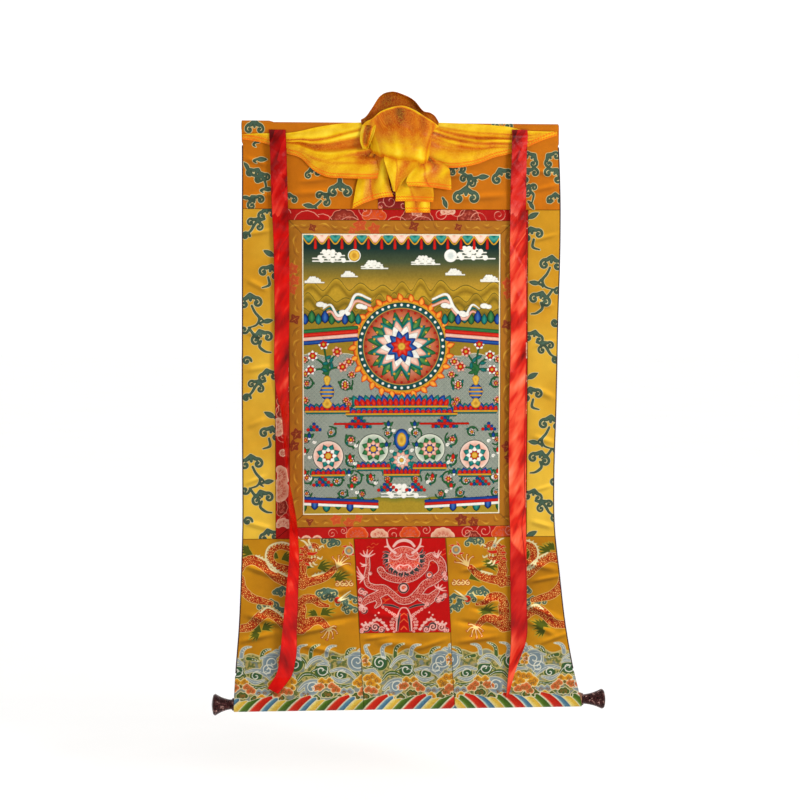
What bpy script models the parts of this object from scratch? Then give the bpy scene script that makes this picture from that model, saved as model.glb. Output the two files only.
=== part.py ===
"""Thangka scroll painting: a canvas in brocade borders, hung from a top rod and weighted by a roller.

Metres, +Z up, +X to the right of the picture, and the picture faces -Y. The origin is the middle of
the hanging's top edge. The cloth's middle plane is y = 0, give or take its soft waves.
"""
import bmesh
import bpy
import numpy as np
from mathutils import Matrix

MM = 0.001
GAP = 0.3 * MM
HALF_SEAM = 0.15 * MM
MITRE = 0.225 * MM
CLOTH = 1.6 * MM
CANVAS = 1.2 * MM
APPLIED = 1.0 * MM
SILK = 1.5 * MM
SATIN = 1.2 * MM
APPLIED_GAP = 0.5 * MM
SILK_REST = 0.95 * MM

TOP_SEAM_Z = -181 * MM
LOWER_SEAM_Z = -878 * MM
BOTTOM_Z = -1249 * MM

RED_LEFT, RED_RIGHT = -267.5 * MM, 268.5 * MM
GOLD_LEFT, GOLD_RIGHT = -238 * MM, 238.5 * MM
GOLD_TOP, GOLD_BOTTOM = -204 * MM, -854 * MM
PAINTING_HALF_WIDTH = 210 * MM
PAINTING_TOP, PAINTING_BOTTOM = -232.5 * MM, -827.5 * MM

# Each seam between the lower panels: its x at the lower seam and at the bottom
SEAM_LEFT = -102 * MM, -81 * MM
SEAM_RIGHT = 94.5 * MM, 114 * MM
# The door's left and right edge at its top and at its bottom
DOOR_TOP, DOOR_BOTTOM = -879 * MM, -1083 * MM
DOOR_LEFT = -101.5 * MM, -89.5 * MM
DOOR_RIGHT = 93.5 * MM, 106.5 * MM
PATCH_LEFT, PATCH_RIGHT = -50 * MM, 61 * MM
PATCH_TOP, PATCH_BOTTOM = -116 * MM, -180 * MM

TOP_ROD_RADIUS = 7.1 * MM
ROLLER_RADIUS = 14.1 * MM
ROD_OVERHANG = 0.5 * MM
ROLLER_INSET = 1.5 * MM
# A sleeve's flat plies meet this many radii from the rod's centre
SLEEVE_TAPER = 3.9
PLY_GAP = 0.5 * MM
PLY_TAIL = 3 * MM
END_SWELL = 3 * MM
SWELL_START, SWELL_END = -266 * MM, -279 * MM
PIPING_WIDTH = 2.0 * MM
PIPING_GAP = 0.6 * MM
PIPING_SHORT = 8 * MM
HEM_STEP = 6 * MM
ROW_STEP = 38 * MM
COLUMN_STEP = 48 * MM
ARC_STEPS = 10

KNOB_STEPS = 28
KNOB_DOME = 6 * MM
KNOB_SHOULDER = 4 * MM
KNOB_LEFT_LENGTH, KNOB_LEFT_RADIUS = 48 * MM, 22.5 * MM
KNOB_RIGHT_LENGTH, KNOB_RIGHT_RADIUS = 53 * MM, 21.0 * MM

HOOD_COLUMNS = 18
HOOD_ROWS = 22
PLEAT_LENGTH = 9.5 * MM

COLOURS = {
    "gold brocade": (0.62, 0.36, 0.05),
    "red brocade": (0.55, 0.02, 0.01),
    "border gold": (0.45, 0.22, 0.02),
    "dragon brocade": (0.60, 0.30, 0.06),
    "canvas": (0.18, 0.22, 0.15),
    "maroon": (0.10, 0.02, 0.02),
    "yellow silk": (0.85, 0.52, 0.02),
    "red satin": (0.60, 0.01, 0.01),
    "wood": (0.35, 0.20, 0.10),
    "bronze": (0.06, 0.02, 0.02),
}


def table(names, *rows, unit=MM):
    """Reads rows into one array for each named column, in millimetres unless it gives another unit."""
    values = np.array(rows, dtype=float) * unit
    return dict(zip(names.split(), values.T))


def smooth(at, places, values):
    """A smooth curve through the values at rising places (cubic pieces with matching slopes)."""
    at = np.clip(at, places[0], places[-1])
    slopes = np.gradient(values, places)
    i = np.clip(np.searchsorted(places, at) - 1, 0, len(places) - 2)
    span = places[i + 1] - places[i]
    t = (at - places[i]) / span
    rise = values[i] * (1 + 2 * t) * (1 - t) ** 2 + values[i + 1] * t ** 2 * (3 - 2 * t)
    lean = slopes[i] * t * (1 - t) ** 2 - slopes[i + 1] * t ** 2 * (1 - t)
    return rise + lean * span


def fade(at, start, end):
    """0 at start and 1 at end, with a soft beginning and end."""
    t = np.clip((at - start) / (end - start), 0, 1)
    return t * t * (3 - 2 * t)


# The hanging's two long edges, from the bottom up: they draw in above the lower seam and flare below it
OUTLINE = table(
    "z left right",
    (-1249, -359, 390),
    (-1169, -355.5, 373),
    (-1062, -347, 353),
    (-959, -342, 340.5),
    (-854, -338.5, 329.5),
    (-754, -338, 328),
    (-604, -338, 331),
    (-424, -337, 334),
    (-244, -336, 338),
    (-114, -335, 336.5),
    (0, -335, 332),
)


def outline_left(z):
    return smooth(z, OUTLINE["z"], OUTLINE["left"])


def outline_right(z):
    return smooth(z, OUTLINE["z"], OUTLINE["right"])


def wave(x, z):
    """How far the cloth's middle plane leaves y = 0: long soft waves, none at the two stiff ends."""
    held = fade(z, -40 * MM, -200 * MM) * fade(z, BOTTOM_Z + 95 * MM, BOTTOM_Z + 240 * MM)
    upright = 2.2 * MM * np.cos(x / (52 * MM) + 0.6) * (0.45 + 0.55 * fade(z, -500 * MM, -1000 * MM))
    level = 1.6 * MM * np.sin(z / (71 * MM))
    edges = -5.0 * MM * np.clip(np.abs(x) / (340 * MM), 0, 1.1) ** 6
    return held * (upright + level + edges)


class Sleeve:
    """A hem folded round a rod: two flat plies that part, run tangent to the rod and round it."""

    def __init__(self, rod_radius, end_z, towards):
        self.radius = rod_radius + GAP + CLOTH / 2
        self.centre_z = end_z - towards * (self.radius + CLOTH / 2)
        self.towards = towards
        reach = self.radius * SLEEVE_TAPER
        self.seam_z = self.centre_z - towards * reach
        self.angle = np.arcsin(self.radius / reach)

    def path(self):
        """The section from the seam down the front ply, round the rod and up the back ply."""
        turn = np.linspace(-self.angle, np.pi + self.angle, ARC_STEPS + 1)
        corner_radius = self.radius / np.cos((turn[1] - turn[0]) / 2)
        arc_y = -corner_radius * np.cos(turn)
        arc_z = self.centre_z + self.towards * corner_radius * np.sin(turn)
        back_y = CLOTH + PLY_GAP
        tail_z = self.seam_z - self.towards * PLY_TAIL
        y = np.concatenate([[0], arc_y, [back_y + 0.5 * (arc_y[-1] - back_y), back_y, back_y]])
        z = np.concatenate([[self.seam_z], arc_z, [(arc_z[-1] + self.seam_z) / 2, self.seam_z, tail_z]])
        return y, z

    def front(self, z):
        """How far the sleeve's front stands out of y = 0 at the heights z."""
        outer = self.radius + CLOTH / 2
        along = self.towards * (z - self.centre_z)
        ball = np.sqrt(np.clip(outer ** 2 - along ** 2, 0, None))
        start = -self.radius * SLEEVE_TAPER
        tangent = -outer * np.sin(self.angle)
        t = np.clip((along - start) / (tangent - start), 0, 1)
        ramp = CLOTH / 2 + t * (outer * np.cos(self.angle) - CLOTH / 2)
        return np.where(along < tangent, ramp, ball)


TOP_SLEEVE = Sleeve(TOP_ROD_RADIUS, 0.0, 1)
ROLLER_SLEEVE = Sleeve(ROLLER_RADIUS, BOTTOM_Z, -1)


def piping_room(z):
    """How far the panels stay inside the outline, to leave room for the piping between the sleeves."""
    below_top = fade(z, TOP_SLEEVE.seam_z, TOP_SLEEVE.seam_z - HEM_STEP)
    above_roller = fade(z, ROLLER_SLEEVE.seam_z, ROLLER_SLEEVE.seam_z + HEM_STEP)
    return (PIPING_WIDTH + PIPING_GAP) * below_top * above_roller


def panel_left(z):
    return outline_left(z) + piping_room(z)


def panel_right(z):
    return outline_right(z) - piping_room(z)


def front(x, z):
    """The y of the cloth's front face, the sleeves' bulge included."""
    bulge = np.maximum(TOP_SLEEVE.front(z), ROLLER_SLEEVE.front(z))
    return wave(x, z) - np.maximum(bulge, CLOTH / 2)


def material(name):
    found = bpy.data.materials.get(name)
    if found:
        return found
    made = bpy.data.materials.new(name)
    made.use_nodes = True
    shader = made.node_tree.nodes["Principled BSDF"]
    shader.inputs["Base Color"].default_value = (*COLOURS[name], 1)
    shader.inputs["Roughness"].default_value = 0.35 if name in ("red satin", "bronze") else 0.7
    shader.inputs["Metallic"].default_value = 1.0 if name == "bronze" else 0.0
    return made


def collection(name):
    made = bpy.data.collections.new(name)
    bpy.context.scene.collection.children.link(made)
    return made


def place(name, mesh, finish, group):
    mesh.materials.append(material(finish))
    made = bpy.data.objects.new(name, mesh)
    group.objects.link(made)
    return made


def grid_mesh(name, columns, rows, surface):
    """A grid primitive whose points are moved to surface(u, v), with u across and v down."""
    bm = bmesh.new()
    bmesh.ops.create_grid(bm, x_segments=columns, y_segments=rows, size=0.5)
    places = np.array([v.co[:] for v in bm.verts])
    x, y, z = surface(places[:, 0] + 0.5, 0.5 - places[:, 1])
    for vertex, point in zip(bm.verts, np.stack(np.broadcast_arrays(x, y, z), axis=1)):
        vertex.co = point
    mesh = bpy.data.meshes.new(name)
    bm.to_mesh(mesh)
    bm.free()
    mesh.shade_smooth()
    return mesh


def sheet(name, columns, rows, surface, thickness, finish, group):
    """A cloth sheet: the grid's surface thickened evenly to both sides."""
    made = place(name, grid_mesh(name, columns, rows, surface), finish, group)
    thick = made.modifiers.new("Thickness", "SOLIDIFY")
    thick.thickness = thickness
    thick.offset = 0
    thick.use_even_offset = True
    return made


def steps(length, step):
    return max(1, int(round(abs(length) / step)))


def flat_piece(name, left, right, top, bottom, finish, thickness=CLOTH, forward=0.0):
    """A hanging piece: its sides are functions of height, its ends functions of the way across."""
    rows = steps(top(0.5) - bottom(0.5), ROW_STEP)
    middle = (top(0.5) + bottom(0.5)) / 2
    columns = steps(right(middle) - left(middle), COLUMN_STEP)

    def surface(u, v):
        z = top(u) + (bottom(u) - top(u)) * v
        x = left(z) + (right(z) - left(z)) * u
        return x, wave(x, z) - forward, z

    return sheet(name, columns, rows, surface, thickness, finish, parts)


def end_swell(x):
    """How much higher the top sleeve stands past the left ribbon, where nothing presses it down."""
    return END_SWELL * fade(x, SWELL_START, SWELL_END)


def sleeved_panel(name, left, right, sleeve, seam_z, finish):
    """A hanging piece that ends in a sleeve: one section from its seam, round the rod and back."""
    sleeve_y, sleeve_z = sleeve.path()
    count = steps(sleeve.seam_z - seam_z, ROW_STEP)
    hang_z = np.linspace(seam_z, sleeve.seam_z - sleeve.towards * HEM_STEP, count)
    path_y = np.concatenate([np.zeros(count), sleeve_y])
    path_z = np.concatenate([hang_z, sleeve_z])
    columns = steps(right(seam_z) - left(seam_z), COLUMN_STEP)

    def surface(u, v):
        row = np.rint(v * (len(path_z) - 1)).astype(int)
        z = path_z[row]
        x = left(z) + (right(z) - left(z)) * u
        rise = end_swell(x) * fade(z, TOP_SLEEVE.centre_z, 0)
        return x, path_y[row] + wave(x, z) * (row <= count), z + rise

    return sheet(name, columns, len(path_z) - 1, surface, CLOTH, finish, parts)


def line(x_top, z_top, x_bottom, z_bottom):
    """A straight edge as a function of height."""
    return lambda z: x_top + (x_bottom - x_top) * (z - z_top) / (z_bottom - z_top)


def level(z):
    return lambda u: z + 0 * u


def upright(x):
    return lambda z: x + 0 * z


def shifted(edge, by):
    return lambda z: edge(z) + by


def build_panels():
    """The brocade ground: one panel over the picture, two beside it and three under it."""
    sleeved_panel("top_panel", panel_left, panel_right, TOP_SLEEVE, TOP_SEAM_Z + HALF_SEAM, "gold brocade")
    ends = level(TOP_SEAM_Z - HALF_SEAM), level(LOWER_SEAM_Z + HALF_SEAM)
    flat_piece("side_panel_left", panel_left, upright(RED_LEFT - HALF_SEAM), *ends, "gold brocade")
    flat_piece("side_panel_right", upright(RED_RIGHT + HALF_SEAM), panel_right, *ends, "gold brocade")
    seam_left = line(SEAM_LEFT[0], LOWER_SEAM_Z, SEAM_LEFT[1], BOTTOM_Z)
    seam_right = line(SEAM_RIGHT[0], LOWER_SEAM_Z, SEAM_RIGHT[1], BOTTOM_Z)
    edges = [
        ("lower_panel_left", panel_left, shifted(seam_left, -HALF_SEAM)),
        ("lower_panel_middle", shifted(seam_left, HALF_SEAM), shifted(seam_right, -HALF_SEAM)),
        ("lower_panel_right", shifted(seam_right, HALF_SEAM), panel_right),
    ]
    for name, left, right in edges:
        sleeved_panel(name, left, right, ROLLER_SLEEVE, LOWER_SEAM_Z - HALF_SEAM, "dragon brocade")


def build_border(prefix, outer, inner, finish):
    """Four strips with mitred corners between two rectangles, each (left, right, top, bottom)."""
    left, right, top, bottom = outer
    in_left, in_right, in_top, in_bottom = inner
    g, m = HALF_SEAM, MITRE
    left, right, top, bottom = left + g, right - g, top - g, bottom + g
    in_left, in_right, in_top, in_bottom = in_left - g, in_right + g, in_top + g, in_bottom - g

    def slant(z_out, z_in):
        return lambda u: z_out + (z_in - z_out) * u

    flat_piece(
        prefix + "_left", upright(left), upright(in_left),
        slant(top - m, in_top - m), slant(bottom + m, in_bottom + m), finish,
    )
    flat_piece(
        prefix + "_right", upright(in_right), upright(right),
        slant(in_top - m, top - m), slant(in_bottom + m, bottom + m), finish,
    )
    flat_piece(
        prefix + "_top", line(left + m, top, in_left + m, in_top),
        line(right - m, top, in_right - m, in_top), level(top), level(in_top), finish,
    )
    flat_piece(
        prefix + "_bottom", line(in_left + m, in_bottom, left + m, bottom),
        line(in_right - m, in_bottom, right - m, bottom), level(in_bottom), level(bottom), finish,
    )


def build_picture():
    """The canvas, its two mitred borders, the door sewn on below and the patch sewn on above."""
    red = (RED_LEFT, RED_RIGHT, TOP_SEAM_Z, LOWER_SEAM_Z)
    gold = (GOLD_LEFT, GOLD_RIGHT, GOLD_TOP, GOLD_BOTTOM)
    canvas = (-PAINTING_HALF_WIDTH, PAINTING_HALF_WIDTH, PAINTING_TOP, PAINTING_BOTTOM)
    build_border("red_border", red, gold, "red brocade")
    build_border("gold_border", gold, canvas, "border gold")
    half = PAINTING_HALF_WIDTH - HALF_SEAM
    flat_piece(
        "painting_canvas", upright(-half), upright(half),
        level(PAINTING_TOP - HALF_SEAM), level(PAINTING_BOTTOM + HALF_SEAM), "canvas", CANVAS,
    )
    stand_off = CLOTH / 2 + APPLIED_GAP + APPLIED / 2
    flat_piece(
        "door_panel", line(DOOR_LEFT[0], DOOR_TOP, DOOR_LEFT[1], DOOR_BOTTOM),
        line(DOOR_RIGHT[0], DOOR_TOP, DOOR_RIGHT[1], DOOR_BOTTOM), level(DOOR_TOP), level(DOOR_BOTTOM),
        "red brocade", APPLIED, stand_off,
    )
    flat_piece(
        "upper_patch", upright(PATCH_LEFT), upright(PATCH_RIGHT),
        level(PATCH_TOP), level(PATCH_BOTTOM), "maroon", APPLIED, stand_off,
    )


def build_piping():
    """The dark piping that shows down both long edges, between the two sleeves."""
    ends = level(TOP_SLEEVE.seam_z - PIPING_SHORT), level(ROLLER_SLEEVE.seam_z + PIPING_SHORT)
    left = outline_left, shifted(outline_left, PIPING_WIDTH)
    right = shifted(outline_right, -PIPING_WIDTH), outline_right
    flat_piece("edge_piping_left", *left, *ends, "maroon", PIPING_WIDTH)
    flat_piece("edge_piping_right", *right, *ends, "maroon", PIPING_WIDTH)


def turned(name, profile, finish, axis_matrix):
    """A turned piece: a profile of (radius, height) from the top down its outer side, spun round Z."""
    mesh = bpy.data.meshes.new(name)
    points = [(radius, 0.0, height) for radius, height in profile]
    mesh.from_pydata(points, [(i, i + 1) for i in range(len(points) - 1)], [])
    made = place(name, mesh, finish, parts)
    spin = made.modifiers.new("Turned", "SCREW")
    spin.steps = spin.render_steps = KNOB_STEPS
    spin.use_merge_vertices = True
    spin.merge_threshold = 0.00001
    made.matrix_world = axis_matrix
    return made


KNOB_NECK = table("radius along", (13.2, 0), (13.2, 4), (10.8, 6), (10.8, 16), (12.2, 24))


def knob_profile(length, flare):
    """A knob standing on its neck: collar, waist, flaring bell and a slightly domed end."""
    radii, along = KNOB_NECK["radius"], KNOB_NECK["along"]
    swell = np.linspace(0.25, 1, 4)
    flare_r = radii[-1] + (flare - radii[-1]) * swell ** 1.4
    flare_at = along[-1] + (length - KNOB_DOME - KNOB_SHOULDER - along[-1]) * swell
    rim = [(flare, length - KNOB_DOME), (flare * 0.93, length - KNOB_DOME * 0.7)]
    dome = [(flare * 0.6, length - KNOB_DOME * 0.25), (0.0, length)]
    outer = list(zip(radii, along)) + list(zip(flare_r, flare_at)) + rim + dome
    return [(float(r), float(h)) for r, h in reversed([(0.0, 0.0)] + outer)]


def along_x(x, z, direction):
    """A frame whose Z runs along the world's X, towards direction, from the point (x, 0, z)."""
    turn = Matrix.Rotation(np.pi / 2 * direction, 4, "Y")
    return Matrix.Translation((x, 0, z)) @ turn


def build_rods():
    """The top rod, the bottom roller and the two turned knobs on the roller's ends."""
    top_left, top_right = OUTLINE["left"][-1], OUTLINE["right"][-1]
    low_left, low_right = OUTLINE["left"][0], OUTLINE["right"][0]
    rods = (
        ("top_rod", top_left - ROD_OVERHANG, top_right + ROD_OVERHANG, TOP_ROD_RADIUS, TOP_SLEEVE),
        ("bottom_roller", low_left + ROLLER_INSET, low_right - ROLLER_INSET, ROLLER_RADIUS, ROLLER_SLEEVE),
    )
    for name, start, end, radius, sleeve in rods:
        length = end - start
        profile = [(0.0, length), (radius, length), (radius, 0.0), (0.0, 0.0)]
        turned(name, profile, "wood", along_x(start, sleeve.centre_z, 1))
    z = ROLLER_SLEEVE.centre_z
    profile = knob_profile(KNOB_LEFT_LENGTH, KNOB_LEFT_RADIUS)
    turned("knob_left", profile, "bronze", along_x(low_left + ROLLER_INSET - GAP, z, -1))
    profile = knob_profile(KNOB_RIGHT_LENGTH, KNOB_RIGHT_RADIUS)
    turned("knob_right", profile, "bronze", along_x(low_right - ROLLER_INSET + GAP, z, 1))


# The silk swags, by how far across: upper and lower edge, how far the belly stands forward, and how
# far the lower edge does
SWAG_LEFT = table(
    "x top bottom belly hem",
    (-333, -27, -37, 0.6, 0),
    (-305, -25, -41, 1.4, 0),
    (-278, -24.5, -48, 3, 0),
    (-240, -23.5, -66, 6, 0.5),
    (-211, -19, -76, 9, 1),
    (-186, -13, -100, 12, 2),
    (-158, -8, -114, 14, 4),
    (-125, -3.5, -117, 14, 7),
    (-92, -1, -118, 13, 10),
    (-62, 0, -118, 12, 9),
    (-40, 0, -115, 5, 3),
)
SWAG_RIGHT = table(
    "x top bottom belly hem",
    (34, 0, -84, 20, 14),
    (54, 0, -84, 18, 12),
    (76, 0, -90, 15, 9),
    (98, -0.5, -94, 14, 7),
    (127, -1.5, -92.5, 13, 4),
    (159, -3, -85.5, 11, 2),
    (194, -5, -72, 9, 1),
    (226, -8, -64, 7, 0.5),
    (262, -15, -50.5, 5, 0),
    (296, -16.5, -35.5, 2.5, 0),
    (328, -17, -25, 0.8, 0),
)
# The folds of each swag. Inner and outer say how far down the fold lies at the hood and at the corner,
# as a share of the swag's height there. Width is such a share too, and height is in metres. The fold
# rises between start and full, both shares of the way from the corner to the hood
LEFT_FOLDS = table(
    "inner outer height width start full",
    (0.18, 0.15, 3 * MM, 0.09, 0.15, 0.5),
    (0.35, 0.48, -6 * MM, 0.065, 0.2, 0.5),
    (0.64, 0.7, 5 * MM, 0.15, 0.35, 0.6),
    (0.56, 0.64, -8 * MM, 0.08, 0.7, 0.9),
    (0.86, 0.8, 5 * MM, 0.09, 0.5, 0.8),
    unit=1,
)
RIGHT_FOLDS = table(
    "inner outer height width start full",
    (0.11, 0.25, 3 * MM, 0.06, 0.2, 0.6),
    (0.24, 0.42, -5 * MM, 0.065, 0.15, 0.6),
    (0.37, 0.52, 4 * MM, 0.07, 0.2, 0.6),
    (0.5, 0.64, -5 * MM, 0.07, 0.3, 0.7),
    (0.76, 0.8, 4 * MM, 0.13, 0.2, 0.6),
    unit=1,
)


def swag_surface(swag, folds, hood_end):
    """A draped swag: it follows the sleeve along its top, bellies forward and folds towards the hood."""
    start, end = swag["x"][0], swag["x"][-1]

    def surface(u, v):
        x = start + (end - start) * u
        top = smooth(x, swag["x"], swag["top"])
        bottom = smooth(x, swag["x"], swag["bottom"])
        belly = smooth(x, swag["x"], swag["belly"])
        z = top + (bottom - top) * v
        near_hood = u if hood_end == "right" else 1 - u
        hem = smooth(x, swag["x"], swag["hem"])
        lift = belly * np.sin(np.pi * v ** 0.8) + hem * v ** 3
        for inner, outer, height, width, begin, full in zip(*folds.values()):
            centre = outer + (inner - outer) * near_hood
            risen = fade(near_hood, begin, full)
            lift = lift + height * np.exp(-((v - centre) / width) ** 2) * risen
        lift = np.maximum(lift, 0)
        rest = SILK_REST + SILK / 2 + 1.2 * MM * fade(v, 0.1, 0.3)
        outer_r = TOP_SLEEVE.radius + CLOTH / 2 + SILK_REST + SILK / 2
        over = np.sqrt(np.clip(outer_r ** 2 - (z - TOP_SLEEVE.centre_z) ** 2, 0, None))
        on_sleeve = np.maximum(TOP_SLEEVE.front(z) + rest, over)
        hang = np.where(z < TOP_SLEEVE.centre_z, on_sleeve, over) - wave(x, z)
        return x, -(hang + lift * fade(v, 0.0, 0.15)), z

    return surface


# The hood, by how far across at the rim and at the foot: the rim of its back, the lip of its front,
# its bottom, and how far its front stands before its back
HOOD = table(
    "x foot rim lip bottom depth",
    (-86, -66, 4, -10, -54, 7),
    (-76, -62, 10, -1, -61, 13),
    (-64, -56, 26, 4, -64, 22),
    (-48, -46, 50, 17, -69, 31),
    (-24, -26, 61, 26, -74, 38),
    (0, -4, 56, 29, -77, 40),
    (26, 20, 42, 20, -80, 39),
    (44, 37, 22, 9, -82, 34),
    (60, 48, 18, 1, -83, 25),
    (70, 54, 11, -4, -78, 14),
    (77, 58, 0, -10, -62, 7),
)
# The hood's section down its back and then up its front from the bottom to the lip: along is a share
# of that ply's height, and out a share of the depth
HOOD_BACK = table(
    "along out",
    (1, 0.34),
    (0.985, 0.16),
    (0.88, 0.03),
    (0.6, 0),
    (0.35, 0),
    (0.12, 0.02),
    (0, 0.16),
    unit=1,
)
HOOD_FRONT = table(
    "along out",
    (-0.06, 0.42),
    (0, 0.76),
    (0.09, 1),
    (0.24, 1.08),
    (0.42, 0.76),
    (0.62, 0.56),
    (0.85, 0.68),
    (1, 0.9),
    unit=1,
)


def hood_surface(u, v):
    """The gathered hood: a bag with a high curled back, a lower lip and a bulging bottom."""
    across = HOOD["x"][0] + (HOOD["x"][-1] - HOOD["x"][0]) * u
    foot, rim, lip, bottom, depth = (smooth(across, HOOD["x"], HOOD[name]) for name in list(HOOD)[1:])
    along = np.concatenate([HOOD_BACK["along"], HOOD_FRONT["along"]])
    out = np.concatenate([HOOD_BACK["out"], HOOD_FRONT["out"]])
    places = np.linspace(0, 1, len(along))
    share = smooth(v, places, along)
    turn = len(HOOD_BACK["along"])
    on_front = fade(v, (turn - 1) / len(along), turn / len(along))
    height = (rim - bottom) * (1 - on_front) + (lip - bottom) * on_front
    z = bottom + share * height
    x = across + (foot - across) * fade(share, 1.0, 0.1)
    pleat = 2.0 * MM * np.cos((x + 9 * MM) / PLEAT_LENGTH) * on_front * np.clip(depth / (38 * MM), 0, 1)
    back_y = TOP_SLEEVE.radius + CLOTH / 2 + 2 * MM + SILK / 2
    return x, -(back_y + smooth(v, places, out) * depth) - pleat * fade(share, 0.15, 0.5), z


# The loose folds and tails under the hood. For each, its left and right edge from the top down, with
# how far each point stands in front of the cloth
TAILS = {
    "left_loop": table(
        "left_x left_z left_out right_x right_z right_out",
        (-76, -1, 14, -54, -2, 24),
        (-84, -12, 22, -56, -12, 30),
        (-88, -28, 28, -60, -27, 31),
        (-88, -43, 30, -66, -42, 30),
        (-82, -58, 25, -73, -58, 25),
    ),
    "left_tail": table(
        "left_x left_z left_out right_x right_z right_out",
        (-64, -62, 16, -34, -56, 22),
        (-82, -94, 8, -32, -88, 19),
        (-92, -118, 6, -29, -116, 15),
        (-99, -149, 8, -24, -138, 14),
        (-104, -181, 7, -18, -155, 12),
    ),
    "middle_tail": table(
        "left_x left_z left_out right_x right_z right_out",
        (-36, -64, 32, 30, -68, 32),
        (-39, -79, 36, 34, -86, 36),
        (-33, -100, 34, 20, -104, 36),
        (-25, -124, 27, 0, -126, 29),
        (-19, -144, 20, -11, -147, 20),
    ),
    "right_roll": table(
        "left_x left_z left_out right_x right_z right_out",
        (28, -70, 26, 62, -74, 20),
        (20, -100, 32, 96, -94, 20),
        (10, -116, 31, 101, -112, 22),
        (8, -126, 28, 103, -126, 18),
        (12, -134, 22, 104, -141, 13),
    ),
    "upper_layer": table(
        "left_x left_z left_out right_x right_z right_out",
        (-20, -72, 23, 46, -70, 21),
        (-16, -116, 15, 62, -116, 14),
        (-14, -140, 11.5, 66, -138, 11),
        (-13, -154, 10.5, 67, -154, 10),
        (-14, -165, 9.5, 66, -166, 10),
    ),
    "lower_layer": table(
        "left_x left_z left_out right_x right_z right_out",
        (4, -70, 17, 46, -68, 17),
        (5, -114, 12, 56, -114, 12),
        (6, -154, 7, 59, -154, 7.5),
        (7, -174, 5, 60, -174, 6),
        (8, -188, 4.5, 60, -188, 5.5),
    ),
}
# Each tail's soft pleats: how many, how high, how far its hem bows up in the middle, and how many
# cells its grid has across and down
TAIL_PLEATS = {
    "left_loop": (0.75, 9 * MM, 0, 5, 7),
    "left_tail": (1.5, 4 * MM, 6 * MM, 9, 8),
    "middle_tail": (1.0, 3 * MM, 0, 6, 8),
    "right_roll": (1.0, 5 * MM, 2 * MM, 8, 8),
    "upper_layer": (1.0, 1.2 * MM, 1 * MM, 6, 7),
    "lower_layer": (1.5, 0.6 * MM, 0, 6, 7),
}


def tail_surface(name):
    tail = TAILS[name]
    pleats, height, bow, _, _ = TAIL_PLEATS[name]
    places = np.linspace(0, 1, len(tail["left_x"]))

    def surface(u, v):
        edges = (smooth(v, places, column) for column in tail.values())
        left_x, left_z, left_out, right_x, right_z, right_out = edges
        x = left_x + (right_x - left_x) * u
        z = left_z + (right_z - left_z) * u + bow * np.sin(np.pi * u) * v ** 3
        out = left_out + (right_out - left_out) * u
        pleat = height * np.sin(2 * np.pi * pleats * u) * np.sin(np.pi * np.clip(u, 0, 1)) ** 0.5
        return x, -(out + pleat * fade(v, 0.1, 0.5)) + wave(x, z), z

    return surface


def union(target, pieces):
    """Joins the pieces into the target, one after another."""
    for piece in pieces:
        joined = target.modifiers.new("Joined " + piece.name, "BOOLEAN")
        joined.operation = "UNION"
        joined.solver = "EXACT"
        joined.object = piece
        piece.hide_render = True
        piece.display_type = "WIRE"


def build_silk():
    """The gathered yellow cover: two swags, the hood and the tails, all one cloth."""
    cover = sheet("silk_cover", HOOD_COLUMNS, HOOD_ROWS, hood_surface, SILK, "yellow silk", parts)
    shapes = {
        "swag_left_form": (swag_surface(SWAG_LEFT, LEFT_FOLDS, "right"), 17, 13),
        "swag_right_form": (swag_surface(SWAG_RIGHT, RIGHT_FOLDS, "left"), 17, 12),
    }
    for name, (_, _, _, columns, rows) in TAIL_PLEATS.items():
        shapes[name + "_form"] = (tail_surface(name), columns, rows)
    forms = []
    for name, (surface, columns, rows) in shapes.items():
        forms.append(sheet(name, columns, rows, surface, SILK, "yellow silk", cutters))
    union(cover, forms)


# The ribbons' edges from the top down, with how far each stands in front of the cloth
RIBBONS = {
    "ribbon_left": table(
        "left_x left_z left_out right_x right_z right_out",
        (-278, -17, 1.2, -243, -17, 1.2),
        (-277.5, -28, 7, -242.5, -28, 9),
        (-276, -54, 15, -241.5, -54, 17),
        (-275, -94, 12, -240.5, -94, 14),
        (-273.5, -164, 9, -239, -164, 11),
        (-270, -242, 9, -237, -242, 14),
        (-268, -404, 8, -237, -404, 18),
        (-265, -564, 7, -239.5, -564, 27),
        (-254, -615, 5, -238.5, -615, 34),
        (-250, -668, 4, -240, -668, 37),
        (-241.5, -742, 3, -238, -742, 38),
        (-231, -796, 4, -240.5, -796, 37),
        (-223, -844, 6, -238.5, -844, 37),
        (-219, -903, 9, -238.5, -903, 35),
        (-221, -1004, 9, -248, -1004, 28),
        (-223.5, -1064, 10, -253.5, -1064, 22),
        (-227, -1139, 12, -262, -1137, 15),
        (-236, -1172, 12, -267, -1164, 13),
        (-264, -1207, 10, -286, -1195, 11),
    ),
    "ribbon_right": table(
        "left_x left_z left_out right_x right_z right_out",
        (231.6, -14, 7.2, 265, -14, 2.2),
        (231.5, -21, 12.5, 265, -21, 9.5),
        (231.4, -40, 17, 264.8, -40, 14),
        (231, -66, 16, 264, -54, 12),
        (230, -104, 12, 263, -104, 10),
        (229, -181, 10, 262.5, -181, 11),
        (228.5, -286, 11, 265, -286, 12),
        (231, -434, 10, 263.5, -434, 12),
        (228, -584, 11, 264.4, -584, 10),
        (229, -798, 11, 265.2, -798, 11),
        (231.2, -884, 15, 265.8, -854, 9),
        (231.8, -929, 9, 266.5, -909, 16),
        (233, -1014, 11, 268, -1014, 11),
        (233.5, -1112, 12, 266.5, -1104, 12),
        (229, -1164, 14, 249, -1150, 16),
        (223, -1223, 6, 228, -1220, 7),
    ),
}
RIBBON_COLUMNS = 2
RIBBON_HEAD = 60 * MM
RIBBON_HEAD_ROWS = 5
RIBBON_ROWS = 36


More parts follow.
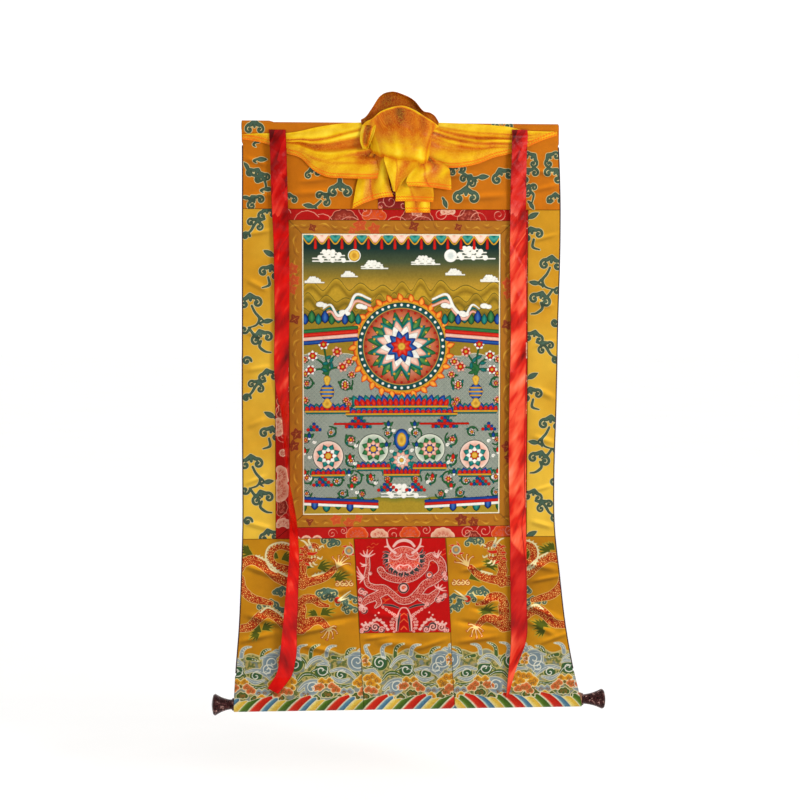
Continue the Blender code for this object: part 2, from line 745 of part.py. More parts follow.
def ribbon_surface(ribbon):
    """A satin ribbon between its two edges, carried in front of whatever cloth hangs behind it."""
    length = np.concatenate([[0], np.cumsum(-np.diff(ribbon["left_z"]))])
    head = np.linspace(0, RIBBON_HEAD, RIBBON_HEAD_ROWS + 1)
    tail = np.linspace(RIBBON_HEAD, length[-1], RIBBON_ROWS - RIBBON_HEAD_ROWS + 1)
    row_at = np.concatenate([head, tail[1:]])

    def surface(u, v):
        at = row_at[np.rint(v * RIBBON_ROWS).astype(int)]
        edges = (smooth(at, length, column) for column in ribbon.values())
        left_x, left_z, left_out, right_x, right_z, right_out = edges
        x = left_x + (right_x - left_x) * u
        z = left_z + (right_z - left_z) * u
        out = left_out + (right_out - left_out) * u
        return x, front(x, z) - out, z

    return surface


def build_ribbons():
    for name, ribbon in RIBBONS.items():
        sheet(name, RIBBON_COLUMNS, RIBBON_ROWS, ribbon_surface(ribbon), SATIN, "red satin", parts)


for old in list(bpy.data.objects):
    bpy.data.objects.remove(old, do_unlink=True)
parts = collection("thangka_scroll")
cutters = collection("construction_forms")
build_panels()
build_picture()
build_piping()
build_rods()
build_silk()
build_ribbons()
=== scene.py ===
# %% [markdown]
# # A scroll painting in brocade mounts
#
# The object is a painted canvas sewn into borders of red and gold brocade, on a ground of gold cloud
# brocade. It hangs from a thin rod in its top hem, and a roller in its bottom hem weighs it down.
# A yellow silk cover is gathered up over the top, and two red satin ribbons fall in front.
#
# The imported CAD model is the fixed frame: it says where everything is. This lesson builds the cloth
# again as dense, thin sheets on the same folds, weaves their patterns, and lights them.

import math

import bpy
import numpy as np
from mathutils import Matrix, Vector


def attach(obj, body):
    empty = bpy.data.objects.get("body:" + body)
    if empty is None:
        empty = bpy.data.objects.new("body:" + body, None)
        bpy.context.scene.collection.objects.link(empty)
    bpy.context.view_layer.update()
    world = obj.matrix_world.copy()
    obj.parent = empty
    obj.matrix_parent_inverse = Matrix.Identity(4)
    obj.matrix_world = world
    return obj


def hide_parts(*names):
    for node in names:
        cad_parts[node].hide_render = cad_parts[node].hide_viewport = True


MM = 0.001
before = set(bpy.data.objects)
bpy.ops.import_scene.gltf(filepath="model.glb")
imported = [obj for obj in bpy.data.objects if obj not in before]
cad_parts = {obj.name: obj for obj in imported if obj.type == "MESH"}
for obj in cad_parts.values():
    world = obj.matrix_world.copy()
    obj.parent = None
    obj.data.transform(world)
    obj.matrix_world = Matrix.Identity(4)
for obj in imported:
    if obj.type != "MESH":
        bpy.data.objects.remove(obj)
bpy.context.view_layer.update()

# %% [markdown]
# ## The camera and the light
#
# The camera stands where the photograph was taken: a little to the left and a little above the middle,
# 3.2 m away, with a long lens. The lens is given by the photograph's own focal length in pixels.
#
# The studio is bright behind the object and dimmer in front of it, so that glossy cloth has something
# dark and something bright to reflect. One large soft lamp on the right makes the ribbons' shadows fall
# to the left, and a weaker one on the left fills them.

# %% Camera
PHOTO_SIZE = 800
LENS_PIXELS = 1506.2
AZIMUTH, ELEVATION = math.radians(-3.48), math.radians(3.18)
AIM = Vector((-0.0034, 0.0, -0.5836))
STAND = 3.2

away = Vector((
    math.sin(AZIMUTH) * math.cos(ELEVATION),
    -math.cos(AZIMUTH) * math.cos(ELEVATION),
    math.sin(ELEVATION),
))
camera_data = bpy.data.cameras.new("photo camera")
camera_data.sensor_width = 36
camera_data.lens = camera_data.sensor_width * LENS_PIXELS / PHOTO_SIZE
camera = bpy.data.objects.new("photo camera", camera_data)
camera.location = AIM + away * STAND
camera.rotation_euler = away.to_track_quat("Z", "Y").to_euler()
bpy.context.scene.collection.objects.link(camera)
bpy.context.scene.camera = camera
print("lens in mm:", round(camera_data.lens, 2))


# %% Lamps
def lamp(name, place, size, power, colour=(1, 1, 1)):
    """A square lamp at a place, turned to the middle of the hanging."""
    light = bpy.data.lights.new(name, "AREA")
    light.size = size
    light.energy = power
    light.color = colour
    made = bpy.data.objects.new(name, light)
    made.location = place
    made.rotation_euler = (Vector(place) - AIM).to_track_quat("Z", "Y").to_euler()
    bpy.context.scene.collection.objects.link(made)


lamp("key lamp", (1.9, -2.4, 0.2), 0.8, 45)
lamp("fill lamp", (-2.2, -2.4, -0.4), 1.6, 6)


# %% Studio walls
def studio(front, behind):
    """The world's brightness by direction: behind the object and overhead it is bright, in front dim."""
    world = bpy.data.worlds.new("studio")
    bpy.context.scene.world = world
    world.use_nodes = True
    tree = world.node_tree
    where = tree.nodes.new("ShaderNodeTexCoord")
    lean = tree.nodes.new("ShaderNodeVectorMath")
    lean.operation = "DOT_PRODUCT"
    lean.inputs[1].default_value = (0, 0.9, 0.6)
    scale = tree.nodes.new("ShaderNodeMapRange")
    scale.interpolation_type = "SMOOTHSTEP"
    for socket, value in zip(scale.inputs[1:5], (-0.75, 0.1, front, behind)):
        socket.default_value = value
    tree.links.new(where.outputs["Generated"], lean.inputs[0])
    tree.links.new(lean.outputs["Value"], scale.inputs[0])
    tree.links.new(scale.outputs[0], tree.nodes["Background"].inputs["Strength"])
    tree.nodes["Background"].inputs["Color"].default_value = (1, 1, 1, 1)


studio(0.14, 1.12)
bpy.context.scene.view_settings.view_transform = "Standard"

# %% [markdown]
# ## A mesh from arrays
#
# Every new piece is a grid of points that numpy works out at once. Two helpers turn such grids into
# meshes. `mesh_from` fills a mesh straight from arrays. `slab_mesh` closes a sheet of cloth: its front
# keeps every point, so that patterns stay sharp, while its back needs only a few columns.


# %% Fill a mesh
def mesh_from(name, points, quads, polygons=()):
    """A mesh from points (n, 3), quads (m, 4) and a few larger polygons, each an array of corners."""
    corners = np.concatenate([quads.ravel(), *polygons]).astype(np.int32)
    sizes = np.concatenate([np.full(len(quads), 4), [len(p) for p in polygons]]).astype(np.int32)
    mesh = bpy.data.meshes.new(name)
    mesh.vertices.add(len(points))
    mesh.loops.add(len(corners))
    mesh.polygons.add(len(sizes))
    mesh.vertices.foreach_set("co", np.asarray(points, np.float32).ravel())
    mesh.loops.foreach_set("vertex_index", corners)
    mesh.polygons.foreach_set("loop_start", np.cumsum(sizes) - sizes)
    mesh.update(calc_edges=True)
    mesh.shade_smooth()
    mesh.set_sharp_from_angle(angle=math.radians(60))
    return mesh


def place_piece(name, mesh, finishes, replaces=()):
    """Puts a finished mesh in the scene, on the frame's one body, in place of its CAD nodes."""
    made = bpy.data.objects.new(name, mesh)
    for finish in finishes:
        mesh.materials.append(finish)
    bpy.context.scene.collection.objects.link(made)
    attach(made, "root")
    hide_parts(*replaces)
    print(name, "-", sum(len(p.vertices) - 2 for p in mesh.polygons), "triangles")
    return made


def grid_of(x, y, z):
    """One grid of points (rows, columns, 3) from three arrays that stretch to the same shape."""
    return np.stack(np.broadcast_arrays(x, y, z), -1)


def grid_quads(index):
    """The four corners of each cell of a grid of point numbers."""
    return np.stack([index[:-1, :-1], index[:-1, 1:], index[1:, 1:], index[1:, :-1]], -1).reshape(-1, 4)


# %% Close a sheet
# What a field holds, in metres, where nothing is drawn
FAR = -0.05
BACK_COLUMNS = 8


def slab_mesh(name, outer, inner, fields=None):
    """A closed sheet between two grids of points (rows, columns, 3). Outer is what shows.

    The front has all the cells of its grid. The back has the rim's points and BACK_COLUMNS columns, so
    its first and last row are many-cornered cells. Fields are numbers on the front's points.
    """
    rows, columns = outer.shape[:2]
    kept = np.unique(np.linspace(0, columns - 1, BACK_COLUMNS + 1).round().astype(int))
    front = np.arange(rows * columns).reshape(rows, columns)
    top = front[-1, -1] + 1 + np.arange(columns)
    bottom = top + columns
    middle = bottom[-1] + 1 + np.arange((rows - 2) * len(kept)).reshape(rows - 2, -1)
    points = [outer.reshape(-1, 3), inner[0], inner[-1], inner[1:-1][:, kept].reshape(-1, 3)]
    left = np.concatenate([top[:1], middle[:, 0], bottom[:1]])
    right = np.concatenate([top[-1:], middle[:, -1], bottom[-1:]])
    rims = [
        np.stack([top, front[0]]),
        np.stack([front[-1], bottom]),
        np.stack([left, front[:, 0]], 1),
        np.stack([front[:, -1], right], 1),
    ]
    shown = np.concatenate([grid_quads(grid) for grid in [front, *rims]])
    hidden = grid_quads(middle)[:, ::-1]
    ends = []
    for k, (start, stop) in enumerate(zip(kept[:-1], kept[1:])):
        ends.append(np.concatenate([top[start:stop + 1][::-1], middle[0, k:k + 2]]))
        ends.append(np.concatenate([bottom[start:stop + 1], middle[-1, k:k + 2][::-1]]))
    cell = outer[rows // 2:rows // 2 + 2, columns // 2:columns // 2 + 2]
    turned = np.cross(cell[0, 1] - cell[0, 0], cell[1, 0] - cell[0, 0])
    if turned @ (cell[0, 0] - inner[rows // 2, columns // 2]) < 0:
        shown, hidden = shown[:, ::-1], hidden[:, ::-1]
        ends = [end[::-1] for end in ends]
    mesh = mesh_from(name, np.concatenate(points), np.concatenate([shown, hidden]), ends)
    which = np.concatenate([np.zeros(len(shown)), np.ones(len(hidden) + len(ends))]).astype(np.int32)
    mesh.polygons.foreach_set("material_index", which)
    for title, values in (fields or {}).items():
        layer = mesh.attributes.new(title, "FLOAT", "POINT")
        spread = np.full(len(mesh.vertices), FAR, np.float32)
        spread[:rows * columns] = values.ravel()
        layer.data.foreach_set("value", spread)
    return mesh


# %% [markdown]
# ## How the cloth hangs
#
# The outline draws in above the lower seam and flares below it. The cloth itself hangs in long soft
# waves, with a few creases where it was folded and small puckers along its seams. All the flat pieces
# share one function of place, `drape`, so that neighbours meet along their seams.


# %% Curves through measured places
def table(names, *rows, unit=MM):
    """Reads rows into one array for each named column, in millimetres unless it gives another unit."""
    values = np.array(rows, dtype=float) * unit
    return dict(zip(names.split(), values.T))


def smooth(at, places, values):
    """A smooth curve through the values at rising places (cubic pieces with matching slopes)."""
    at = np.clip(at, places[0], places[-1])
    slopes = np.gradient(values, places)
    i = np.clip(np.searchsorted(places, at) - 1, 0, len(places) - 2)
    span = places[i + 1] - places[i]
    t = (at - places[i]) / span
    rise = values[i] * (1 + 2 * t) * (1 - t) ** 2 + values[i + 1] * t ** 2 * (3 - 2 * t)
    lean = slopes[i] * t * (1 - t) ** 2 - slopes[i + 1] * t ** 2 * (1 - t)
    return rise + lean * span


def fade(at, start, end):
    """0 at start and 1 at end, with a soft beginning and end."""
    t = np.clip((at - start) / (end - start), 0, 1)
    return t * t * (3 - 2 * t)


TOP_SEAM_Z, LOWER_SEAM_Z, BOTTOM_Z = -181 * MM, -878 * MM, -1249 * MM
OUTLINE = table(
    "z left right",
    (-1249, -359, 390),
    (-1169, -355.5, 373),
    (-1062, -347, 353),
    (-959, -342, 340.5),
    (-854, -338.5, 329.5),
    (-754, -338, 328),
    (-604, -338, 331),
    (-424, -337, 334),
    (-244, -336, 338),
    (-114, -335, 336.5),
    (0, -335, 332),
)


def outline_left(z):
    """The x of the hanging's left edge at a height."""
    return smooth(z, OUTLINE["z"], OUTLINE["left"])


def outline_right(z):
    """The x of the hanging's right edge at a height."""
    return smooth(z, OUTLINE["z"], OUTLINE["right"])


# %% Waves, creases and puckers
# Soft creases all over the mount, each from one point to another, with its width and height
CREASES = table(
    "x0 z0 x1 z1 width height",
    (-330, -1040, -240, -1066, 6.5, 1.0), (-205, -1010, -110, -985, 5.8, 0.9),
    (-190, -1062, -95, -1046, 7.2, -1.0), (-150, -925, -105, -955, 6.5, 0.8),
    (115, -1000, 210, -1020, 6.5, 0.9), (120, -1060, 215, -1075, 5.8, -0.9),
    (250, -1015, 345, -1060, 5.8, 1.1), (270, -1060, 330, -1090, 5.8, 0.9),
    (-60, -1100, 40, -1112, 8.6, 0.8), (-325, -330, -282, -352, 5, 0.7),
    (-325, -640, -290, -622, 5.8, 0.7), (285, -560, 325, -580, 5.8, 0.7),
    (-330, -160, -270, -150, 5.8, 0.8), (285, -140, 330, -128, 5, 0.7), (-235, -150, -90, -142, 6.5, 0.8),
    (110, -160, 225, -150, 6.5, 0.8), (-330, -935, -262, -960, 5, 0.9),
    (-235, -1085, -130, -1062, 5.8, 1.0), (-200, -960, -120, -942, 5, -0.8),
    (-345, -1098, -270, -1080, 5.8, 0.9), (-210, -1108, -140, -1124, 5, 0.8),
    (-160, -990, -108, -1030, 4.3, 0.9), (130, -950, 200, -935, 5, 0.9), (240, -930, 335, -950, 5.8, 0.8),
    (280, -975, 345, -962, 4.3, 0.8), (120, -1105, 210, -1092, 5.8, 0.9),
    (150, -1030, 220, -1048, 4.3, -0.8), (300, -1110, 362, -1086, 5, 0.9),
    (-80, -1096, -20, -1088, 4.3, 0.7), (30, -1120, 100, -1096, 5, 0.8),
    (-70, -1040, 10, -1052, 6.5, 0.6), (-45, -950, 40, -940, 6.5, 0.6),
    (-330, -236, -275, -226, 4.3, 0.7), (-330, -438, -285, -452, 4.3, 0.7),
    (-325, -520, -280, -512, 5, 0.6), (-330, -760, -290, -744, 4.3, 0.7),
    (-330, -842, -280, -856, 5, 0.8), (280, -246, 330, -232, 4.3, 0.7), (278, -372, 322, -384, 5, 0.7),
    (285, -470, 328, -458, 4.3, 0.6), (280, -662, 326, -676, 5, 0.7), (284, -780, 322, -768, 4.3, 0.7),
    (280, -846, 324, -858, 5, 0.8), (-326, -76, -282, -90, 4.3, 0.7), (282, -96, 330, -110, 4.3, 0.7),
    (-215, -124, -150, -118, 5, 0.6), (90, -112, 160, -106, 5, 0.6),
)
SEAM_PUCKER = 11 * MM


def wave(x, z):
    """How far the cloth's middle leaves y = 0: long soft waves, none at the two stiff ends."""
    held = fade(z, -40 * MM, -200 * MM) * fade(z, BOTTOM_Z + 95 * MM, BOTTOM_Z + 240 * MM)
    lengthwise = 2.2 * MM * np.cos(x / (52 * MM) + 0.6) * (0.45 + 0.55 * fade(z, -500 * MM, -1000 * MM))
    crosswise = 1.6 * MM * np.sin(z / (71 * MM))
    edges = -5.0 * MM * np.clip(np.abs(x) / (340 * MM), 0, 1.1) ** 6
    return held * (lengthwise + crosswise + edges)


def creases(x, z):
    """The sum of the creases: each is its height at its line, and falls off as a bell across it."""
    total = np.zeros(np.broadcast(x, z).shape)
    for x0, z0, x1, z1, width, height in zip(*CREASES.values()):
        along_x, along_z = x1 - x0, z1 - z0
        t = np.clip(((x - x0) * along_x + (z - z0) * along_z) / (along_x ** 2 + along_z ** 2), 0, 1)
        off = np.hypot(x - x0 - t * along_x, z - z0 - t * along_z)
        total -= height * np.exp(-(off / width) ** 2) * np.sin(np.pi * np.clip(t, 0.02, 0.98)) ** 0.5
    return total


def fold_light(x, z):
    """How much a crease turns to the light from the upper right: its rise across six millimetres."""
    step = 3 * MM
    return creases(x + step, z + step) - creases(x - step, z - step)


def puckers(x, z):
    """Small ripples across the level seams, strongest at the thread, with uneven spacing."""
    total = 0
    for seam in (TOP_SEAM_Z, LOWER_SEAM_Z):
        ripple = np.sin(2 * np.pi * x / SEAM_PUCKER + 2.2 * np.sin(x / (37 * MM)))
        total = total + 0.22 * MM * ripple * np.exp(-np.abs(z - seam) / (8 * MM))
    return total


def drape(x, z):
    """Where the middle of every flat piece hangs."""
    calm = fade(z, -50 * MM, -110 * MM) * fade(z, BOTTOM_Z + 95 * MM, BOTTOM_Z + 150 * MM)
    fine = 0.25 * MM * np.sin(x / (13 * MM) + 2 * np.sin(z / (60 * MM))) * np.sin(z / (47 * MM))
    return wave(x, z) + (creases(x, z) + puckers(x, z) + fine) * calm


# %% [markdown]
# ## Flat pieces and hems
#
# A flat piece lies between two sides that depend on the height, and two ends that depend on the way
# across. Its front rounds over at every edge, where the seam allowance is turned under. Beside a hem
# the cloth goes on round the rod: one section down the front, round it and up the back.

# %% Rounded edges
CLOTH, CANVAS, APPLIED = 1.6 * MM, 1.2 * MM, 1.0 * MM
EDGE_ROWS = np.array([0, 0.4, 1.1]) * MM
EDGE_DEPTH = 0.7 * MM


def spacing(length, step):
    """Shares from 0 to 1 along a length, close together at both ends, where the edge rounds over."""
    first = 2 * EDGE_ROWS[-1]
    count = max(2, int(round((length - 2 * first) / step)) + 1)
    inner = np.linspace(first, length - first, count)
    return np.concatenate([EDGE_ROWS, inner, length - EDGE_ROWS[::-1]]) / length


def rounding(*distances):
    """How far the front sinks near an edge: a quarter round over the last one and a half millimetres."""
    near = np.minimum.reduce(np.broadcast_arrays(*distances))
    share = 1 - np.clip(near / (1.5 * MM), 0, 1)
    return EDGE_DEPTH * share ** 2


def flat_grid(left, right, top, bottom, step, thickness=CLOTH, forward=0.0):
    """The x, z and two faces of a flat piece, as (rows, columns) grids."""
    middle = (top(0.5) + bottom(0.5)) / 2
    u = spacing(right(middle) - left(middle), step)[None, :]
    v = spacing(top(0.5) - bottom(0.5), step)[:, None]
    z = top(u) + (bottom(u) - top(u)) * v
    x = left(z) + (right(z) - left(z)) * u
    slant = 1 / np.hypot(1, (top(1.0) - top(0.0)) / (right(middle) - left(middle)))
    sunk = rounding(x - left(z), right(z) - x, (top(u) - z) * slant, (z - bottom(u)) * slant)
    y = drape(x, z) - forward
    outer = grid_of(x, y - thickness / 2 + sunk, z)
    inner = grid_of(x, y + thickness / 2, z)
    return x, z, outer, inner


def line(x_top, z_top, x_bottom, z_bottom):
    """A straight edge as a function of height."""
    return lambda z: x_top + (x_bottom - x_top) * (z - z_top) / (z_bottom - z_top)


def level(z):
    """A level end as a function of the way across."""
    return lambda u: z + 0 * u


def upright(x):
    """An upright side as a function of height."""
    return lambda z: x + 0 * z


# %% Hems round the rods
GAP = 0.3 * MM
SLEEVE_TAPER = 3.9
PIPING_WIDTH = 2.0 * MM
ARC_POINTS = 60


class Hem:
    """A hem folded round a rod: two flat plies that part, run tangent to the rod and round it."""

    def __init__(self, rod_radius, end_z, towards):
        self.radius = rod_radius + GAP + CLOTH / 2
        self.centre_z = end_z - towards * (self.radius + CLOTH / 2)
        self.towards = towards
        reach = self.radius * SLEEVE_TAPER
        self.seam_z = self.centre_z - towards * reach
        self.angle = np.arcsin(self.radius / reach)

    def section(self, seam_z, step, back_step):
        """Points (y, z) of the cloth's middle from its seam, round the rod and back, and their outward
        directions. The front is walked in even steps, and the hidden back in wider ones."""
        turn = np.linspace(-self.angle, np.pi + self.angle, ARC_POINTS)
        arc_y = -self.radius * np.cos(turn)
        arc_z = self.centre_z + self.towards * self.radius * np.sin(turn)
        back_y = CLOTH + 0.5 * MM
        end_z = self.seam_z - self.towards * 3 * MM
        y = np.concatenate([[0, 0], arc_y, [back_y, back_y]])
        z = np.concatenate([[seam_z, self.seam_z], arc_z, [self.seam_z, end_z]])
        walked = np.concatenate([[0], np.cumsum(np.hypot(np.diff(y), np.diff(z)))])
        top_of_arc = np.interp(np.pi / 2, turn, walked[2:2 + ARC_POINTS])
        count = int(round(top_of_arc / step))
        behind = int(round((walked[-1] - top_of_arc) / back_step))
        at = np.concatenate([
            EDGE_ROWS,
            np.linspace(2 * EDGE_ROWS[-1], top_of_arc, count),
            np.linspace(top_of_arc, walked[-1], behind + 1)[1:],
        ])
        y_at, z_at = np.interp(at, walked, y), np.interp(at, walked, z)
        slope_y = np.interp(at + 0.5 * MM, walked, y) - np.interp(at - 0.5 * MM, walked, y)
        slope_z = np.interp(at + 0.5 * MM, walked, z) - np.interp(at - 0.5 * MM, walked, z)
        size = np.hypot(slope_y, slope_z)
        return y_at, z_at, -self.towards * slope_z / size, self.towards * slope_y / size

    def front(self, z):
        """How far the hem's front stands out of y = 0 at the heights z."""
        outer = self.radius + CLOTH / 2
        along = self.towards * (z - self.centre_z)
        ball = np.sqrt(np.clip(outer ** 2 - along ** 2, 0, None))
        start = -self.radius * SLEEVE_TAPER
        tangent = -outer * np.sin(self.angle)
        t = np.clip((along - start) / (tangent - start), 0, 1)
        ramp = CLOTH / 2 + t * (outer * np.cos(self.angle) - CLOTH / 2)
        return np.where(along < tangent, ramp, ball)


TOP_HEM = Hem(7.1 * MM, 0.0, 1)
ROLLER_HEM = Hem(14.1 * MM, BOTTOM_Z, -1)
print("hem seams in mm:", round(TOP_HEM.seam_z / MM, 1), round(ROLLER_HEM.seam_z / MM, 1))


def hem_grid(left, right, hem, seam_z, step):
    """The x, z and two faces of a piece that ends in a hem. Only its front ply takes the drape, and a
    little swell lifts the top hem's left end."""
    y, z, out_y, out_z = (part[:, None] for part in hem.section(seam_z, step, 6 * MM))
    u = spacing(right(seam_z) - left(seam_z), step)[None, :]
    x = left(z) + (right(z) - left(z)) * u
    swell = 3 * MM * fade(x, -266 * MM, -279 * MM) * fade(z, TOP_HEM.centre_z, 0)
    sunk = rounding(x - left(z), right(z) - x, np.abs(z - seam_z) + 0.02 * MM)
    y = y + drape(x, z) * (np.abs(out_y + 1) < 0.5)
    outer = grid_of(x, y + out_y * (CLOTH / 2 - sunk), z + swell + out_z * (CLOTH / 2 - sunk))
    inner = grid_of(x, y - out_y * CLOTH / 2, z + swell - out_z * CLOTH / 2)
    return x, z + 0 * x, outer, inner


def cloth_front(x, z):
    """The y of the cloth's front face, the hems' bulge included."""
    bulge = np.maximum(TOP_HEM.front(z), ROLLER_HEM.front(z))
    return wave(x, z) - np.maximum(bulge, CLOTH / 2)


# %% [markdown]
# ## Drawing with distances
#
# A woven figure is drawn as a signed distance on the points of its piece: above nought inside the
# figure, below it outside. A straight blend between two points keeps such a number exact across an
# edge, so the material can cut a sharp outline out of it at any zoom, and can paint bands beside it.


# %% Paths
def curve(*points, steps=6):
    """A smooth path in millimetres through a few points (each stretch leans on its neighbours)."""
    p = np.array(points, float)
    p = np.concatenate([[2 * p[0] - p[1]], p, [2 * p[-1] - p[-2]]])
    t = np.linspace(0, 1, steps, endpoint=False)[:, None, None]
    a, b, c, d = p[:-3], p[1:-2], p[2:-1], p[3:]
    bent = 2 * a - 5 * b + 4 * c - d
    twisted = 3 * b - a - 3 * c + d
    path = 0.5 * (2 * b + (c - a) * t + bent * t ** 2 + twisted * t ** 3)
    return np.concatenate([path.transpose(1, 0, 2).reshape(-1, 2), p[-2:-1]])


def heading(angle):
    """The unit direction at an angle."""
    return np.array([math.cos(angle), math.sin(angle)])


def spiral(x, z, radius, turns=1.5, start=0.0, hand=1):
    """A path that winds in to the point (x, z): its radius shrinks evenly as it turns."""
    t = np.linspace(0, 1, int(14 * turns) + 2)
    angle = start + hand * 2 * np.pi * turns * t
    reach = radius * (1 - 0.88 * t)
    return np.stack([x + reach * np.cos(angle), z + reach * np.sin(angle)], 1)


def taper(path, start, middle, end):
    """Half widths along a path that swell from start to middle and fall to end."""
    t = np.linspace(0, 1, len(path))
    return np.interp(t, [0, 0.5, 1], [start, middle, end])


# %% Signed distances
# How far beyond a shape its distances are still worked out, in millimetres
MARGIN = 4


class Drawing:
    """Named signed distances in millimetres on the points of one piece."""

    def __init__(self, x, z):
        self.x, self.z = (np.broadcast_to(a, np.broadcast(x, z).shape).ravel() / MM for a in (x, z))
        self.fields = {}

    def field(self, name):
        """The distances of one name, at first far outside everywhere."""
        return self.fields.setdefault(name, np.full(self.x.shape, FAR / MM))

    def join(self, name, near, distance):
        """Adds a shape to a field: the larger of the two distances stays."""
        field = self.field(name)
        field[near] = np.maximum(field[near], distance)

    def nearby(self, points, reach):
        """Which points lie in the box round some others, made larger by a reach."""
        low, high = points.min(0) - reach, points.max(0) + reach
        inside = (self.x > low[0]) & (self.x < high[0]) & (self.z > low[1]) & (self.z < high[1])
        return np.flatnonzero(inside)

    def stroke(self, name, path, half_width):
        """A brush stroke: its half width there minus the distance from the path."""
        path = np.asarray(path, float)
        half = np.broadcast_to(half_width, len(path))
        near = self.nearby(path, half.max() + MARGIN)
        x, z = self.x[near], self.z[near]
        best = np.full(x.shape, FAR / MM)
        for (x0, z0), (x1, z1), h0, h1 in zip(path[:-1], path[1:], half[:-1], half[1:]):
            across, up = x1 - x0, z1 - z0
            t = np.clip(((x - x0) * across + (z - z0) * up) / (across ** 2 + up ** 2 + 1e-9), 0, 1)
            best = np.maximum(best, h0 + (h1 - h0) * t - np.hypot(x - x0 - t * across, z - z0 - t * up))
        self.join(name, near, best)

    def brush(self, name, path, *half_widths):
        """A stroke whose half width goes evenly from its start to its middle and on to its end."""
        self.stroke(name, path, taper(path, *half_widths))

    def disc(self, name, x, z, radius, height=None):
        """A disc, or an ellipse when a height is given."""
        height = height or radius
        near = self.nearby(np.array([[x - radius, z - height], [x + radius, z + height]]), MARGIN)
        off = np.hypot((self.x[near] - x) / radius, (self.z[near] - z) / height)
        self.join(name, near, (1 - off) * min(radius, height))

    def petal(self, name, x, z, length, width, angle):
        """A pointed petal from its foot at (x, z): its half width follows half a sine, drawn to a tip."""
        turn = heading(angle)
        near = self.nearby(np.array([[x - length, z - length], [x + length, z + length]]), MARGIN)
        along = (self.x[near] - x) * turn[0] + (self.z[near] - z) * turn[1]
        off = np.abs((self.z[near] - z) * turn[0] - (self.x[near] - x) * turn[1])
        share = np.clip(along / length, 0, 1)
        half = width / 2 * np.sin(np.pi * share ** 0.8) ** 0.75
        ends = np.minimum(along, length - along)
        self.join(name, near, np.minimum((half - off) * 0.85, ends + 0.5))

    def done(self):
        """The fields in metres, ready for the mesh."""
        return {name: values * MM for name, values in self.fields.items()}


# %% [markdown]
# ## Finishes
#
# Each finish is a node material. `Finish` keeps the few moves that all of them share: read a field,
# paint bands of colour over what is there, cross the threads of a weave, and dent the surface.


# %% Colours and the finish helper
# A wave texture of scale 1 repeats after this many metres
WAVE_PERIOD = 0.314


def rgb(red, green, blue):
    """A colour as seen on a screen, 0 to 255, made linear for the shader."""
    share = np.array([red, green, blue]) / 255
    linear = np.where(share <= 0.04045, share / 12.92, ((share + 0.055) / 1.055) ** 2.4)
    return (*(float(c) for c in linear), 1.0)


